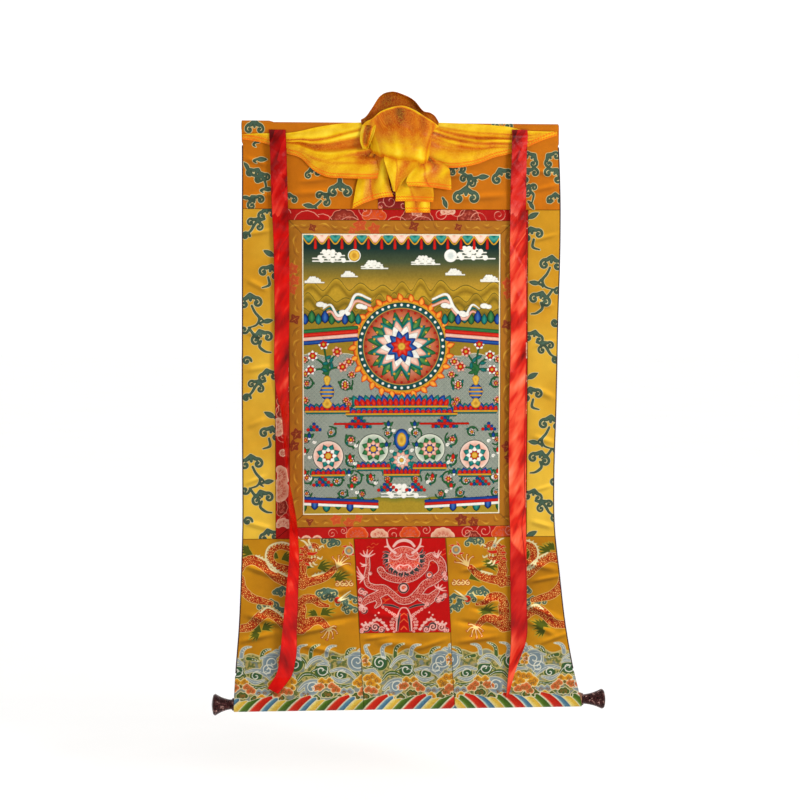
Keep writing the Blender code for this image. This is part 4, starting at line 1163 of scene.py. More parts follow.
def dragon(draw, at):
    """A dragon that loops across a panel, drawn as thick strokes, with a crest, claws and a pearl."""
    for places, thick in (
        ([(278, 96), (225, 84), (182, 108), (172, 150), (196, 192), (262, 212)], (7, 7.5, 8)),
        ([(6, 214), (30, 176), (84, 160), (150, 196), (214, 252), (300, 288), (392, 280), (470, 256),
          (520, 212)], (8, 12, 6)),
        ([(10, 262), (24, 318), (72, 366), (130, 384), (176, 396)], (9, 9, 5)),
        ([(8, 532), (60, 524), (110, 474), (160, 446), (214, 474), (268, 524), (338, 542)], (8, 11, 11)),
        ([(338, 230), (350, 262), (346, 300)], (9, 10, 9)),
        ([(330, 420), (352, 378), (404, 376), (440, 404), (484, 414)], (9, 9, 3)),
        ([(338, 430), (332, 480), (352, 524), (392, 500), (440, 496), (480, 534)], (11, 11, 6)),
        ([(382, 92), (358, 122), (350, 172), (344, 216)], (7, 9, 9)),
        ([(358, 112), (384, 90), (412, 86), (436, 98)], (8, 6.5, 4)),
        ([(352, 156), (376, 166), (402, 164), (424, 150)], (7, 5.5, 3)),
    ):
        draw.brush("dragon", curve(*at(*places)), *thick)
    for places in (
        [(288, 78), (230, 66), (168, 88), (148, 142), (170, 204), (206, 228)],
        [(96, 136), (150, 166), (210, 220), (262, 250)],
        [(400, 250), (462, 232)], [(120, 446), (160, 420), (214, 448), (250, 480)],
    ):
        edge = curve(*at(*places), steps=10)
        draw.stroke("crest", edge, 1.3)
        for spot, ahead in zip(edge[2:-1:3], edge[3::3]):
            way = (ahead - spot) / max(np.linalg.norm(ahead - spot), 1e-6)
            side = np.array([-way[1], way[0]])
            draw.stroke("crest", [spot, spot + way * 3 + side * 5], [1.4, 0.2])
    for foot, toes in (
        ((532, 204), ((506, 150), (540, 140), (572, 142), (600, 152), (606, 184))),
        ((486, 540), ((446, 562), (452, 592), (480, 604), (512, 594), (536, 566), (528, 528))),
    ):
        for toe in toes:
            middle = ((foot[0] + toe[0]) / 2 + 6, (foot[1] + toe[1]) / 2 - 8)
            path = curve(*at(foot, middle, toe))
            way = (path[-1] - path[-2]) / np.linalg.norm(path[-1] - path[-2])
            hook = path[-1] + (3.6 * way[1] - way[0], -3.6 * way[0] - way[1])
            path = np.concatenate([path, [hook]])
            draw.brush("claw", path, 1.7, 1.3, 0.7)
    for field, places, thick in (
        ("ember", [(380, 128), (404, 130), (426, 122)], (3.4, 2.8, 1.0)),
        ("ember", [(352, 104), (338, 98), (326, 106)], (2.2, 1.8, 0.4)),
        ("ember", [(346, 134), (332, 132), (322, 142)], (2.2, 1.8, 0.4)),
        ("ember", [(342, 164), (328, 168), (320, 182)], (2.2, 1.8, 0.4)),
        ("ember", [(366, 182), (384, 190), (398, 184)], (2.4, 2.0, 0.6)),
        ("crest", [(376, 84), (356, 62), (334, 54)], (1.9, 1.5, 0.4)),
        ("crest", [(390, 80), (380, 58), (388, 44)], (1.8, 1.4, 0.4)),
        ("crest", [(438, 96), (456, 86), (464, 100)], (1.4, 1.2, 0.3)),
        ("crest", [(428, 150), (446, 158), (454, 144)], (1.4, 1.2, 0.3)),
        ("crest", [(386, 178), (394, 196), (410, 202)], (1.5, 1.3, 0.3)),
        ("crest", [(404, 176), (414, 188), (430, 188)], (1.4, 1.2, 0.3)),
        ("crest", [(402, 102), (404, 110), (403, 117)], (1.5, 1.2, 0.4)),
        ("crest", [(420, 106), (421, 112), (420, 118)], (1.4, 1.1, 0.4)),
        ("crest", [(396, 152), (397, 146), (396, 139)], (1.4, 1.1, 0.4)),
        ("crest", [(414, 148), (414, 142), (413, 136)], (1.3, 1.0, 0.4)),
        ("crest", [(540, 384), (584, 350), (608, 334)], (1.5, 1.2, 0.4)),
        ("crest", [(540, 388), (568, 380), (596, 372)], (1.5, 1.2, 0.4)),
    ):
        draw.brush(field, curve(*at(*places)), *thick)
    draw.disc("ember", *at((536, 384))[0], 7)
    draw.disc("pearl", *at((388, 94))[0], 4.2)
    pearl = at((598, 115))[0]
    draw.disc("pearl", *pearl, 9.5)
    for k in range(5):
        angle = 1.0 + k * 1.1
        flame = [pearl + 11 * heading(angle), pearl + 17.6 * heading(angle + 0.5)]
        draw.stroke("ember", flame, [2.0, 0.4])


def sky(draw, at):
    """Clouds and leaf-like green flames round the dragon."""
    for x, y, size in ((488, 66, 20), (516, 78, 17), (236, 338, 20), (212, 344, 14), (458, 352, 20),
                       (492, 356, 22), (520, 384, 16), (556, 402, 15), (606, 390, 20), (610, 444, 17),
                       (134, 412, 16), (176, 410, 20), (214, 442, 17), (250, 446, 16), (586, 428, 14)):
        cloud(draw, *at((x, y))[0], size, 0.3 * math.sin(x))
    for x, y, size in ((548, 296, 17), (596, 296, 18)):
        spot = at((x, y))[0]
        for hand in (-1, 1):
            draw.stroke("claw", spiral(spot[0] + hand * 6, spot[1], size * 0.36, 1.2, 1.6, hand), 1.2)
    for x, y, lean, size in (
        (80, 138, 2.9, 34), (60, 118, 2.5, 22), (430, 208, 0.1, 34), (400, 200, 2.8, 22),
        (524, 274, 0.3, 34), (500, 262, 0.8, 22), (446, 462, 0.4, 32), (424, 466, 2.8, 22),
        (120, 552, 2.6, 30), (130, 540, 0.4, 26), (110, 566, 3.6, 22), (236, 158, 0.2, 30),
        (214, 150, 2.7, 20),
    ):
        spot = at((x, y))[0]
        for turn in (-0.62, -0.28, 0.0, 0.34, 0.7):
            way = heading(lean + turn) * size * (1.1 - 0.5 * abs(turn))
            blade = curve(spot, spot + way * 0.5 + (0, size * 0.08), spot + way)
            draw.brush("leaf", blade, 1.2, 2.1, 0.2)


# %% The sea
# Great curls of water: field, x, y, radius, turns and direction on the sea's chart
SEA_CURLS = (
    ("green", 395, 362, 17, 1.5, 1), ("blue", 1015, 345, 21, 1.5, -1), ("blue", 120, 420, 15, 1.4, 1),
    ("green", 660, 430, 16, 1.2, -1), ("blue", 560, 600, 15, 1.3, 1), ("green", 850, 480, 13, 1.2, 1),
)
# Bands of water: field, half width in millimetres, and places along the band
SEA_BANDS = (
    ("blue", 4.2, ((505, 400), (560, 330), (640, 300), (720, 350))),
    ("blue", 3.8, ((620, 372), (680, 360), (730, 380))),
    ("green", 4.8, ((560, 440), (640, 410), (720, 450), (760, 520))),
    ("blue", 4.6, ((750, 440), (840, 420), (930, 450), (1000, 520))),
    ("blue", 4.4, ((760, 500), (840, 540), (930, 520))),
    ("green", 5.2, ((420, 530), (480, 470), (560, 470), (610, 500))),
    ("blue", 5.6, ((430, 620), (500, 560), (600, 540), (640, 560))),
    ("green", 4.4, ((330, 300), (420, 290), (490, 340), (500, 420))),
    ("green", 4.0, ((800, 570), (880, 590), (970, 570))),
    ("blue", 4.0, ((240, 440), (330, 440), (390, 500))),
    ("green", 4.0, ((940, 430), (1010, 460), (1030, 510))),
    ("green", 3.8, ((250, 390), (310, 400), (380, 430))),
    ("blue", 3.6, ((900, 300), (980, 280), (1080, 300), (1110, 380))),
)
# Tips of foam that curl up into the gold: field, and places from the foot to the tip
SEA_HORNS = (
    ("blue", ((432, 300), (418, 230), (446, 184), (512, 168))),
    ("green", ((548, 300), (556, 220), (598, 182), (640, 168))),
    ("blue", ((706, 280), (718, 220), (756, 188), (806, 182))),
    ("green", ((906, 300), (920, 244), (958, 216), (1000, 208))),
    ("blue", ((1100, 260), (1060, 226), (1020, 236))),
    ("blue", ((290, 300), (262, 240), (250, 190), (290, 176))),
    ("green", ((770, 300), (830, 310), (880, 330))),
)
# Clusters of curled clouds: field, x, y, size in millimetres
SEA_CLUSTERS = (
    ("gold", 270, 520, 13), ("gold", 320, 500, 12), ("gold", 366, 540, 12), ("gold", 300, 566, 13),
    ("peach", 280, 630, 12), ("peach", 330, 640, 12), ("gold", 360, 600, 10), ("gold", 660, 540, 11),
    ("gold", 736, 540, 11), ("leafy", 700, 576, 9), ("peach", 616, 604, 13), ("peach", 650, 588, 10),
    ("peach", 760, 586, 11), ("peach", 800, 622, 13), ("leafy", 700, 668, 12), ("leafy", 736, 668, 10),
    ("blue", 880, 640, 11), ("blue", 940, 644, 12), ("gold", 1010, 560, 12), ("gold", 1064, 520, 13),
    ("gold", 1050, 580, 12), ("peach", 1090, 620, 13), ("peach", 1060, 660, 11), ("blue", 480, 664, 11),
    ("blue", 530, 660, 11), ("leafy", 420, 716, 12), ("gold", 500, 712, 13), ("leafy", 602, 706, 12),
    ("leafy", 836, 700, 11), ("gold", 908, 698, 13), ("leafy", 1000, 690, 12), ("leafy", 250, 690, 11),
    ("gold", 250, 310, 10), ("gold", 262, 372, 11), ("peach", 244, 342, 8), ("leafy", 196, 650, 11),
    ("gold", 180, 590, 12), ("blue", 160, 640, 11),
)


def sea(draw, at):
    """One repeat of the sea: bands, curls, foam and clusters, each with pale threads wound into it."""
    for field, thick, places in SEA_BANDS:
        path = curve(*at(*places))
        draw.brush(field, path, thick * 0.5, thick, thick * 0.4)
        draw.stroke("foam", path, 0.7)
    for field, x, y, radius, turns, hand in SEA_CURLS:
        spot = at((x, y))[0]
        draw.disc(field, *spot, radius)
        draw.stroke("foam", spiral(*spot, radius * 0.86, turns, 0.5, hand), 1.1)
    for field, places in SEA_HORNS:
        path = curve(*at(*places), steps=8)
        draw.brush(field, path, 4.0, 3.2, 0.6)
        for k in range(6, len(path) - 2, 4):
            draw.stroke("foam", [path[k], path[k] + (3.2, -3.2)], [1.3, 0.3])
    for field, x, y, size in SEA_CLUSTERS:
        spot = at((x, y))[0]
        for k in range(3):
            lift = size * 0.3 if k == 1 else 0
            draw.disc(field, spot[0] + size * 0.36 * (k - 1), spot[1] + lift, size * 0.42)
        draw.stroke("curls", spiral(*spot, size * 0.4, 1.3, x, 1 if x % 20 else -1), 0.8)


STRIPE_TOP, STRIPE_WIDTH = -1219 * MM, 82 * MM


def lower_pattern(dragon_at, sea_places, lean):
    """Everything drawn on one lower panel; lean says which way its stripes slant."""
    def draw_on(draw):
        if dragon_at:
            dragon(draw, dragon_at)
            sky(draw, dragon_at)
        for name in ("dragon", "crest", "claw", "ember", "pearl", "body", "leaf"):
            draw.field(name)
        shore = -1126 + 5 * np.sin(draw.x / 9) + 4 * np.sin(draw.x / 23 + 1)
        draw.join("sea", slice(None), shore - draw.z)
        for at in sea_places:
            sea(draw, at)
        rise = draw.z - BOTTOM_Z / MM
        phase = (draw.x + lean * rise * (0.5 + 0.016 * rise)) / (STRIPE_WIDTH / MM)
        tips = 4.5 * np.cos(2 * np.pi * (phase - 0.14)) + 1.5 * np.cos(8 * np.pi * (phase - 0.14))
        draw.join("stripes", slice(None), STRIPE_TOP / MM + tips - draw.z)
        draw.fields["phase"] = (phase + 20) / MM
    return draw_on


# %% Dragon brocade finish
def dragon_finish():
    """The ground, the sea and its figures, the dragons with their scales, then the stripes on top."""
    finish = Finish("dragon brocade", roughness=0.5, specular_ior_level=0.08)
    colour = finish.mix(finish.noise(8, 3), rgb(212, 150, 20), rgb(186, 112, 6))
    ripples = finish.scale(finish.noise(150, 2), 0.42, 0.58)
    sea_ground = finish.mix(ripples, rgb(100, 110, 56), rgb(182, 160, 90))
    sea_ground = finish.mix(finish.scale(finish.noise(60, 1), 0.5, 0.62), sea_ground, rgb(132, 140, 130))
    colour = finish.layer(colour, "sea", (0.0, 210, 190, 120), (3, 210, 190, 120))
    share = finish.scale(finish.field("sea"), 1.0, 5.0)
    colour = finish.mix(share, colour, sea_ground)
    for field, edge, deep, light in (
        ("leaf", (186, 152, 40), (78, 84, 16), (96, 104, 26)),
        ("body", (204, 192, 130), (70, 94, 76), (92, 120, 108)),
        ("green", (200, 188, 120), (84, 100, 36), (56, 92, 56)),
        ("blue", (216, 206, 160), (158, 166, 164), (122, 140, 146)),
        ("leafy", (220, 206, 150), (60, 84, 34), (86, 106, 46)),
        ("gold", (240, 216, 150), (226, 164, 40), (206, 120, 20)),
        ("peach", (240, 210, 160), (220, 130, 70), (200, 78, 36)),
    ):
        colour = finish.layer(colour, field, (-1.3, *edge), (-0.3, *edge), (0.4, *deep), (4.5, *light))
    colour = finish.layer(colour, "foam", (0.0, 226, 224, 204))
    colour = finish.layer(colour, "curls", (0.0, 140, 96, 40))
    spots = finish.bands(finish.net(285.0), [(0.0, 136, 22, 4), (0.09, 188, 52, 12),
                                             (0.18, 216, 92, 26), (0.25, 240, 176, 84),
                                             (0.5, 246, 206, 120)])
    body = finish.field("dragon")
    colour = finish.mix(finish.scale(body, -1.3, -0.8), colour, rgb(236, 196, 110))
    colour = finish.mix(finish.scale(body, -0.4, 0.1), colour, rgb(170, 60, 16))
    colour = finish.mix(finish.scale(body, 0.5, 1.0), colour, spots)
    colour = finish.layer(colour, "ember", (-0.6, 240, 190, 130), (0.2, 216, 40, 14))
    colour = finish.layer(colour, "claw", (-1.0, 176, 60, 16), (-0.2, 176, 60, 16), (0.4, 242, 206, 130))
    colour = finish.layer(colour, "crest", (-0.7, 150, 120, 40), (0.0, 240, 224, 170))
    colour = finish.layer(colour, "pearl", (-1.2, 214, 60, 30), (0.2, 226, 214, 170),
                          (3, 120, 128, 120), (7, 210, 150, 60))
    phase = finish.math("FRACT", finish.read("phase"))
    pale = 226, 218, 180
    stripes = finish.bands(phase, [
        (0.0, 232, 150, 120), (0.05, 212, 48, 24), (0.26, 190, 26, 10), (0.28, *pale),
        (0.31, 176, 196, 196), (0.34, 96, 140, 160), (0.46, 60, 104, 130), (0.48, *pale),
        (0.51, 236, 216, 130), (0.60, 226, 186, 70), (0.70, 222, 176, 60), (0.72, *pale),
        (0.75, 120, 150, 60), (0.80, 80, 110, 30), (0.94, 60, 92, 30), (0.97, *pale),
        (1.0, *pale),
    ])
    grain = finish.scale(finish.noise(320, 1), 0.3, 0.7, 0.84, 1.12)
    stripes = finish.shade(stripes, grain)
    edge = finish.field("stripes")
    colour = finish.mix(finish.scale(edge, -1.0, -0.5), colour, rgb(*pale))
    colour = finish.mix(finish.scale(edge, 0.2, 0.7), colour, stripes)
    colour = finish.mottle(finish.weave(colour, 0.75 * MM, 0.14), 40, 0.92, 1.05)
    # Large soft patches up to a fifth darker: painted shade of soft folds.
    colour = finish.creased(finish.mottle(colour, 9, 0.8, 1.04), 0.5)
    finish.raise_up(finish.scale(body, -1.5, 0.5), 0.7)
    finish.raise_up(finish.scale(finish.field("claw"), -1.5, 0.5), 0.6)
    return finish.finish(colour)


DRAGON_FINISH = dragon_finish()
seam_left = line(-102 * MM, LOWER_SEAM_Z, -81 * MM, BOTTOM_Z)
seam_right = line(94.5 * MM, LOWER_SEAM_Z, 114 * MM, BOTTOM_Z)
SEA_REPEAT, SEA_Z, SEA_UNIT = 181, -1070.4, 0.2135
DRAGON_Z, DRAGON_UNIT = -859.5, 0.3935


def seas(first, repeats, hand=1):
    """The charts of the sea's repeats, counted to the right of the first."""
    return [chart(first + SEA_REPEAT * k, SEA_Z, SEA_UNIT, hand) for k in repeats]


for node, left, right, pattern in (
    ("lower_panel_left", panel_left, seam_left,
     lower_pattern(chart(-347.7, DRAGON_Z, DRAGON_UNIT), seas(-130.9, (-1, -2)), -1)),
    ("lower_panel_middle", seam_left, seam_right,
     lower_pattern(None, seas(-130.9, (0, 1)), -1)),
    ("lower_panel_right", seam_right, panel_right,
     lower_pattern(chart(352, DRAGON_Z, DRAGON_UNIT, -1), seas(140, (1, 2), -1), 1)),
):
    grid = hem_grid(left, right, ROLLER_HEM, LOWER_SEAM_Z, 1.75 * MM)
    sheet_piece(node, grid, pattern, DRAGON_FINISH)

# %% [markdown]
# ## The yellow silk cover
#
# The cover is one thin glossy cloth, gathered up over the top. Two swags hang from the top hem, a hood
# stands in the middle with its lip curled forward, and loose tails fall below it. Each is a surface of
# two parameters, thickened along its own normals. Its tone is painted shade in the hollows and painted
# light on the folds. A damask figure shows by its gloss and a painted sheen, and the hem is sewn down
# with orange zigzag stitches.

# %% A thin sheet from any surface
SILK = 1.0 * MM


def normals_of(points):
    """Unit normals of a grid of points: the cross product of its two slopes."""
    turned = np.cross(np.gradient(points, axis=1), np.gradient(points, axis=0))
    return turned / np.maximum(np.linalg.norm(turned, axis=-1, keepdims=True), 1e-12)


def thin_sheet(points, thickness):
    """Points and quads of a closed sheet round a grid of points (rows, columns, 3)."""
    rows, columns = points.shape[:2]
    half = normals_of(points) * thickness / 2
    one = np.arange(rows * columns).reshape(rows, columns)
    two = one + rows * columns
    rims = [
        np.stack([two[0], one[0]]),
        np.stack([one[-1], two[-1]]),
        np.stack([two[:, 0], one[:, 0]], 1),
        np.stack([one[:, -1], two[:, -1]], 1),
    ]
    quads = np.concatenate([grid_quads(one), grid_quads(two)[:, ::-1]] + [grid_quads(g) for g in rims])
    return np.concatenate([(points - half).reshape(-1, 3), (points + half).reshape(-1, 3)]), quads


def joined_sheets(name, sheets, thickness):
    """One mesh from several grids, each with its fields: a cloth whose folds were worked out apart."""
    all_points, all_quads, all_fields, start = [], [], {}, 0
    for points, fields in sheets:
        made, quads = thin_sheet(points, thickness)
        all_points.append(made)
        all_quads.append(quads + start)
        start += len(made)
        for title, values in fields.items():
            all_fields.setdefault(title, []).append(np.tile(values.ravel(), 2))
    mesh = mesh_from(name, np.concatenate(all_points), np.concatenate(all_quads))
    for title, values in all_fields.items():
        layer = mesh.attributes.new(title, "FLOAT", "POINT")
        layer.data.foreach_set("value", np.concatenate(values).astype(np.float32))
    return mesh


def shares(columns, rows):
    """How far across and how far down the points of a grid lie, each from 0 to 1."""
    return np.linspace(0, 1, columns)[None, :], np.linspace(0, 1, rows)[:, None]


def walked(points, axis):
    """How far each point of a grid lies along its row or column, in metres."""
    steps = np.linalg.norm(np.diff(points, axis=axis), axis=-1)
    return np.concatenate([np.zeros_like(np.take(steps, [0], axis)), np.cumsum(steps, axis)], axis)


def cloth_fields(points, hem=False, tone=1.0):
    """Where each point lies on the flat cloth (across, down), how far it is from the sewn hem, and its
    tone of painted light and shade, from 0 in a shaded hollow to 1 on a bright fold."""
    down = walked(points, 0)
    from_hem = down[-1:] - down if hem else np.full(points.shape[:2], 1.0)
    return {"across": walked(points, 1), "down": down, "hem": from_hem, "tone": tone + 0 * down}


# %% Swags
# How far the cover rests in front of the cloth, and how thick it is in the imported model
SILK_REST, SOLID_SILK = 0.95 * MM, 1.5 * MM
SWAG_LEFT = table(
    "x top bottom belly hem",
    (-333, -27, -37, 0.6, 0), (-305, -25, -41, 1.4, 0), (-278, -24.5, -48, 3, 0),
    (-240, -23.5, -66, 6, 0.5), (-211, -19, -76, 9, 1), (-186, -13, -100, 12, 2), (-158, -8, -114, 14, 4),
    (-125, -3.5, -117, 14, 7), (-92, -1, -118, 13, 10), (-62, 0, -118, 12, 9), (-40, 0, -115, 5, 3),
)
SWAG_RIGHT = table(
    "x top bottom belly hem",
    (34, 0, -84, 20, 14), (54, 0, -84, 18, 12), (76, 0, -90, 15, 9), (98, -0.5, -94, 14, 7),
    (127, -1.5, -92.5, 13, 4), (159, -3, -85.5, 11, 2), (194, -5, -72, 9, 1), (226, -8, -64, 7, 0.5),
    (262, -15, -50.5, 5, 0), (296, -16.5, -35.5, 2.5, 0), (328, -17, -25, 0.8, 0),
)
# The folds of each swag. Inner and outer say how far down the fold lies at the hood and at the corner,
# as a share of the swag's height there. Width is such a share too, and height is in millimetres. The
# fold rises between start and full, both shares of the way from the corner to the hood, and the last
# column says how much the silk is painted there, lighter for painted light and darker for painted shade
LEFT_FOLDS = table(
    "inner outer height width start full tone",
    (0.18, 0.15, 3, 0.09, 0.15, 0.5, 0.22), (0.35, 0.48, -6, 0.065, 0.2, 0.5, -0.24),
    (0.64, 0.7, 5, 0.15, 0.35, 0.6, 0.1), (0.56, 0.64, -8, 0.08, 0.7, 0.9, -0.5),
    (0.86, 0.8, 5, 0.09, 0.5, 0.8, 0.12), (0.05, 0.42, -0.8, 0.03, 0.05, 0.3, -0.46),
    (0.12, 0.46, 0.8, 0.03, 0.1, 0.35, 0.18), (0.22, 0.5, -0.8, 0.035, 0.1, 0.4, -0.3),
    (0.46, 0.56, 1.0, 0.03, 0.3, 0.6, 0.2), (0.72, 0.6, -0.8, 0.03, 0.35, 0.7, -0.2),
    (0.44, 0.9, -0.5, 0.025, 0.2, 0.5, -0.14),
    unit=1,
)
RIGHT_FOLDS = table(
    "inner outer height width start full tone",
    (0.11, 0.25, 3, 0.06, 0.2, 0.6, 0.15), (0.24, 0.42, -5, 0.065, 0.15, 0.6, -0.16),
    (0.37, 0.52, 4, 0.07, 0.2, 0.6, 0.1), (0.5, 0.64, -5, 0.07, 0.3, 0.7, -0.12),
    (0.76, 0.8, 4, 0.13, 0.2, 0.6, 0.1), (0.05, 0.34, -0.8, 0.03, 0.05, 0.25, -0.3),
    (0.08, 0.56, -0.8, 0.035, 0.05, 0.25, -0.36), (0.13, 0.66, 0.8, 0.03, 0.1, 0.3, 0.2),
    (0.18, 0.78, -0.8, 0.035, 0.05, 0.25, -0.34), (0.3, 0.9, -0.6, 0.03, 0.1, 0.3, -0.2),
    unit=1,
)


def swag(shape, folds, hood_end, columns, rows):
    """A draped swag: it follows the hem along its top, bellies forward and folds towards the hood.
    Its tone is painted light and shade: lighter along its top, darker in the hollows of the folds and beside
    the hood, and lighter on their backs."""
    u, v = shares(columns, rows)
    x = shape["x"][0] + (shape["x"][-1] - shape["x"][0]) * u
    top, bottom, belly, hem = (smooth(x, shape["x"], shape[n]) for n in ("top", "bottom", "belly", "hem"))
    z = top + (bottom - top) * v
    near_hood = u if hood_end == "right" else 1 - u
    lift = belly * np.sin(np.pi * v ** 0.8) + hem * v ** 3
    tone = 0.66 + 0.22 * fade(v, 0.3, 0.05)
    for inner, outer, height, width, begin, full, light in zip(*folds.values()):
        sag = 0.06 * np.sin(np.pi * near_hood)
        off = (v - sag - outer - (inner - outer) * near_hood) / width
        bell = np.exp(-off ** 2) * fade(near_hood, begin, full)
        lift = lift + height * MM * bell * (fade(near_hood, 0.9, 0.76) if hood_end == "left" else 1)
        tone = tone + light * bell * fade(near_hood, -0.1, 0.4)
    lift = np.maximum(lift, 0)
    rest = SILK_REST + SOLID_SILK / 2 + 1.2 * MM * fade(v, 0.1, 0.3)
    outer_r = TOP_HEM.radius + CLOTH / 2 + SILK_REST + SOLID_SILK / 2
    over = np.sqrt(np.clip(outer_r ** 2 - (z - TOP_HEM.centre_z) ** 2, 0, None))
    on_hem = np.maximum(TOP_HEM.front(z) + rest, over)
    hang = np.where(z < TOP_HEM.centre_z, on_hem, over) - wave(x, z)
    points = grid_of(x, -(hang + lift * fade(v, 0.0, 0.15)), z)
    return points, tone - 0.25 * fade(near_hood, 0.8, 1.0)


# %% The hood
HOOD = table(
    "x foot rim lip bottom depth",
    (-86, -66, 4, -10, -54, 7), (-76, -62, 10, -1, -61, 13), (-64, -56, 26, 4, -64, 22),
    (-48, -46, 50, 17, -69, 31), (-24, -26, 61, 26, -74, 38), (0, -4, 56, 29, -77, 40),
    (26, 20, 42, 20, -80, 39), (44, 37, 22, 9, -82, 34), (60, 48, 18, 1, -83, 25),
    (70, 54, 11, -4, -78, 14), (77, 58, 0, -10, -62, 7),
)
# The hood's section down its back, then up its front from the bottom to the lip: along is a share of
# that ply's height, and out a share of the depth
HOOD_BACK = table("along out", (1, 0.34), (0.985, 0.16), (0.88, 0.03), (0.6, 0), (0.35, 0), (0.12, 0.02),
                  (0, 0.16), unit=1)
HOOD_FRONT = table("along out", (-0.06, 0.42), (0, 0.76), (0.09, 1), (0.24, 1.08), (0.42, 0.76), (0.62, 0.56),
                   (0.85, 0.68), (1, 0.9), unit=1)


def hood(columns, rows):
    """The gathered hood: a bag with a high curled back, a lower lip and a bulging bottom. Painted shade
    darkens its back and the hollow under its lip, and painted light brightens the lip and the bottom."""
    u, v = shares(columns, rows)
    across = HOOD["x"][0] + (HOOD["x"][-1] - HOOD["x"][0]) * u
    foot, rim, lip, bottom, depth = (smooth(across, HOOD["x"], HOOD[n]) for n in list(HOOD)[1:])
    along = np.concatenate([HOOD_BACK["along"], HOOD_FRONT["along"]])
    out = np.concatenate([HOOD_BACK["out"], HOOD_FRONT["out"]])
    places = np.linspace(0, 1, len(along))
    share = smooth(v, places, along)
    turn = len(HOOD_BACK["along"])
    on_front = fade(v, (turn - 1) / len(along), turn / len(along))
    height = (rim - bottom) * (1 - on_front) + (lip - bottom) * on_front
    z = bottom + share * height
    x = across + (foot - across) * fade(share, 1.0, 0.1)
    pleat = 2.0 * MM * np.cos((x + 9 * MM) / (9.5 * MM)) * on_front * np.clip(depth / (38 * MM), 0, 1)
    back_y = TOP_HEM.radius + CLOTH / 2 + 2 * MM + SOLID_SILK / 2
    y = -(back_y + smooth(v, places, out) * depth) - pleat * fade(share, 0.15, 0.5)
    # Painted shade on the front: the mouth under the lip, its deepest middle, two dark lines along the
    # vertical folds near the sides (named seam), the right side and the rolled-under bottom edge.
    mouth = np.exp(-((u - 0.5) / 0.36) ** 6) * fade(share, 0.1, 0.7) * fade(share, 0.99, 0.95)
    deepest = np.exp(-((u - 0.5) / 0.16) ** 2) * fade(share, 0.5, 0.85) * fade(share, 0.99, 0.95)
    seam = np.exp(-((u - 0.89 - 0.05 * share) / 0.02) ** 2)
    seam = seam + np.exp(-((u - 0.06 - 0.08 * share ** 2) / 0.02) ** 2)
    right_side = fade(u, 0.66, 0.88) * fade(share, 0.1, 0.4) * fade(share, 0.99, 0.95)
    streaks = 0.07 * np.sin(17 * u + 3 * share) + 0.05 * np.sin(41 * u + 4 * share)
    front = 0.8 - 0.46 * mouth - 0.2 * deepest - 0.2 * seam - 0.16 * right_side + streaks
    front = front - 0.3 * fade(share, 0.06, -0.04)
    tone = on_front * front + (1 - on_front) * (0.14 + 0.12 * np.sin(9 * u) ** 2)
    return grid_of(x, y, z), tone


# %% Tails
TWO_EDGES = "left_x left_z left_out right_x right_z right_out"
# For each tail, its left and right edge from the top down, with how far each point stands in front of
# the cloth
TAILS = {
    "left_loop": table(
        TWO_EDGES,
        (-76, -1, 14, -54, -2, 24), (-84, -12, 22, -56, -12, 30), (-88, -28, 28, -60, -27, 31),
        (-88, -43, 30, -66, -42, 30), (-82, -58, 25, -73, -58, 25),
    ),
    "left_tail": table(
        TWO_EDGES,
        (-64, -62, 16, -34, -56, 22), (-82, -94, 8, -32, -88, 19), (-92, -118, 6, -29, -116, 15),
        (-99, -149, 8, -24, -138, 14), (-104, -181, 7, -18, -155, 12),
    ),
    "middle_tail": table(
        TWO_EDGES,
        (-36, -64, 32, 30, -68, 32), (-39, -79, 36, 34, -86, 36), (-33, -100, 34, 20, -104, 36),
        (-25, -124, 27, 0, -126, 29), (-19, -144, 20, -11, -147, 20),
    ),
    "right_roll": table(
        TWO_EDGES,
        (28, -70, 26, 62, -74, 20), (20, -100, 32, 96, -94, 20), (10, -116, 31, 101, -112, 22),
        (8, -126, 28, 103, -126, 18), (12, -134, 22, 104, -141, 13),
    ),
    "upper_layer": table(
        TWO_EDGES,
        (-20, -72, 23, 46, -70, 21), (-16, -116, 15, 62, -116, 14), (-14, -140, 11.5, 66, -138, 11),
        (-13, -154, 10.5, 67, -154, 10), (-14, -165, 9.5, 66, -166, 10),
    ),
    "lower_layer": table(
        TWO_EDGES,
        (4, -70, 17, 46, -68, 17), (5, -114, 12, 56, -114, 12), (6, -154, 7, 59, -154, 7.5),
        (7, -174, 5, 60, -174, 6), (8, -188, 4.5, 60, -188, 5.5),
    ),
}
# Each tail's soft pleats: how many, how high, how far its hem bows up, both in millimetres, and how
# many columns and rows its grid has
TAIL_PLEATS = {
    "left_loop": (0.75, 9, 0, 18, 34),
    "left_tail": (1.5, 4, 6, 40, 62),
    "middle_tail": (1.0, 3, 0, 38, 46),
    "right_roll": (1.0, 5, 2, 46, 42),
    "upper_layer": (1.0, 1.2, 1, 42, 52),
    "lower_layer": (1.5, 0.6, 0, 30, 60),
}


def between_edges(shape, u, places, at):
    """Points between a left and a right edge, each given by rows of x, z and distance outwards."""
    left_x, left_z, left_out, right_x, right_z, right_out = (smooth(at, places, c) for c in shape.values())
    x = left_x + (right_x - left_x) * u
    z = left_z + (right_z - left_z) * u
    return x, z, left_out + (right_out - left_out) * u


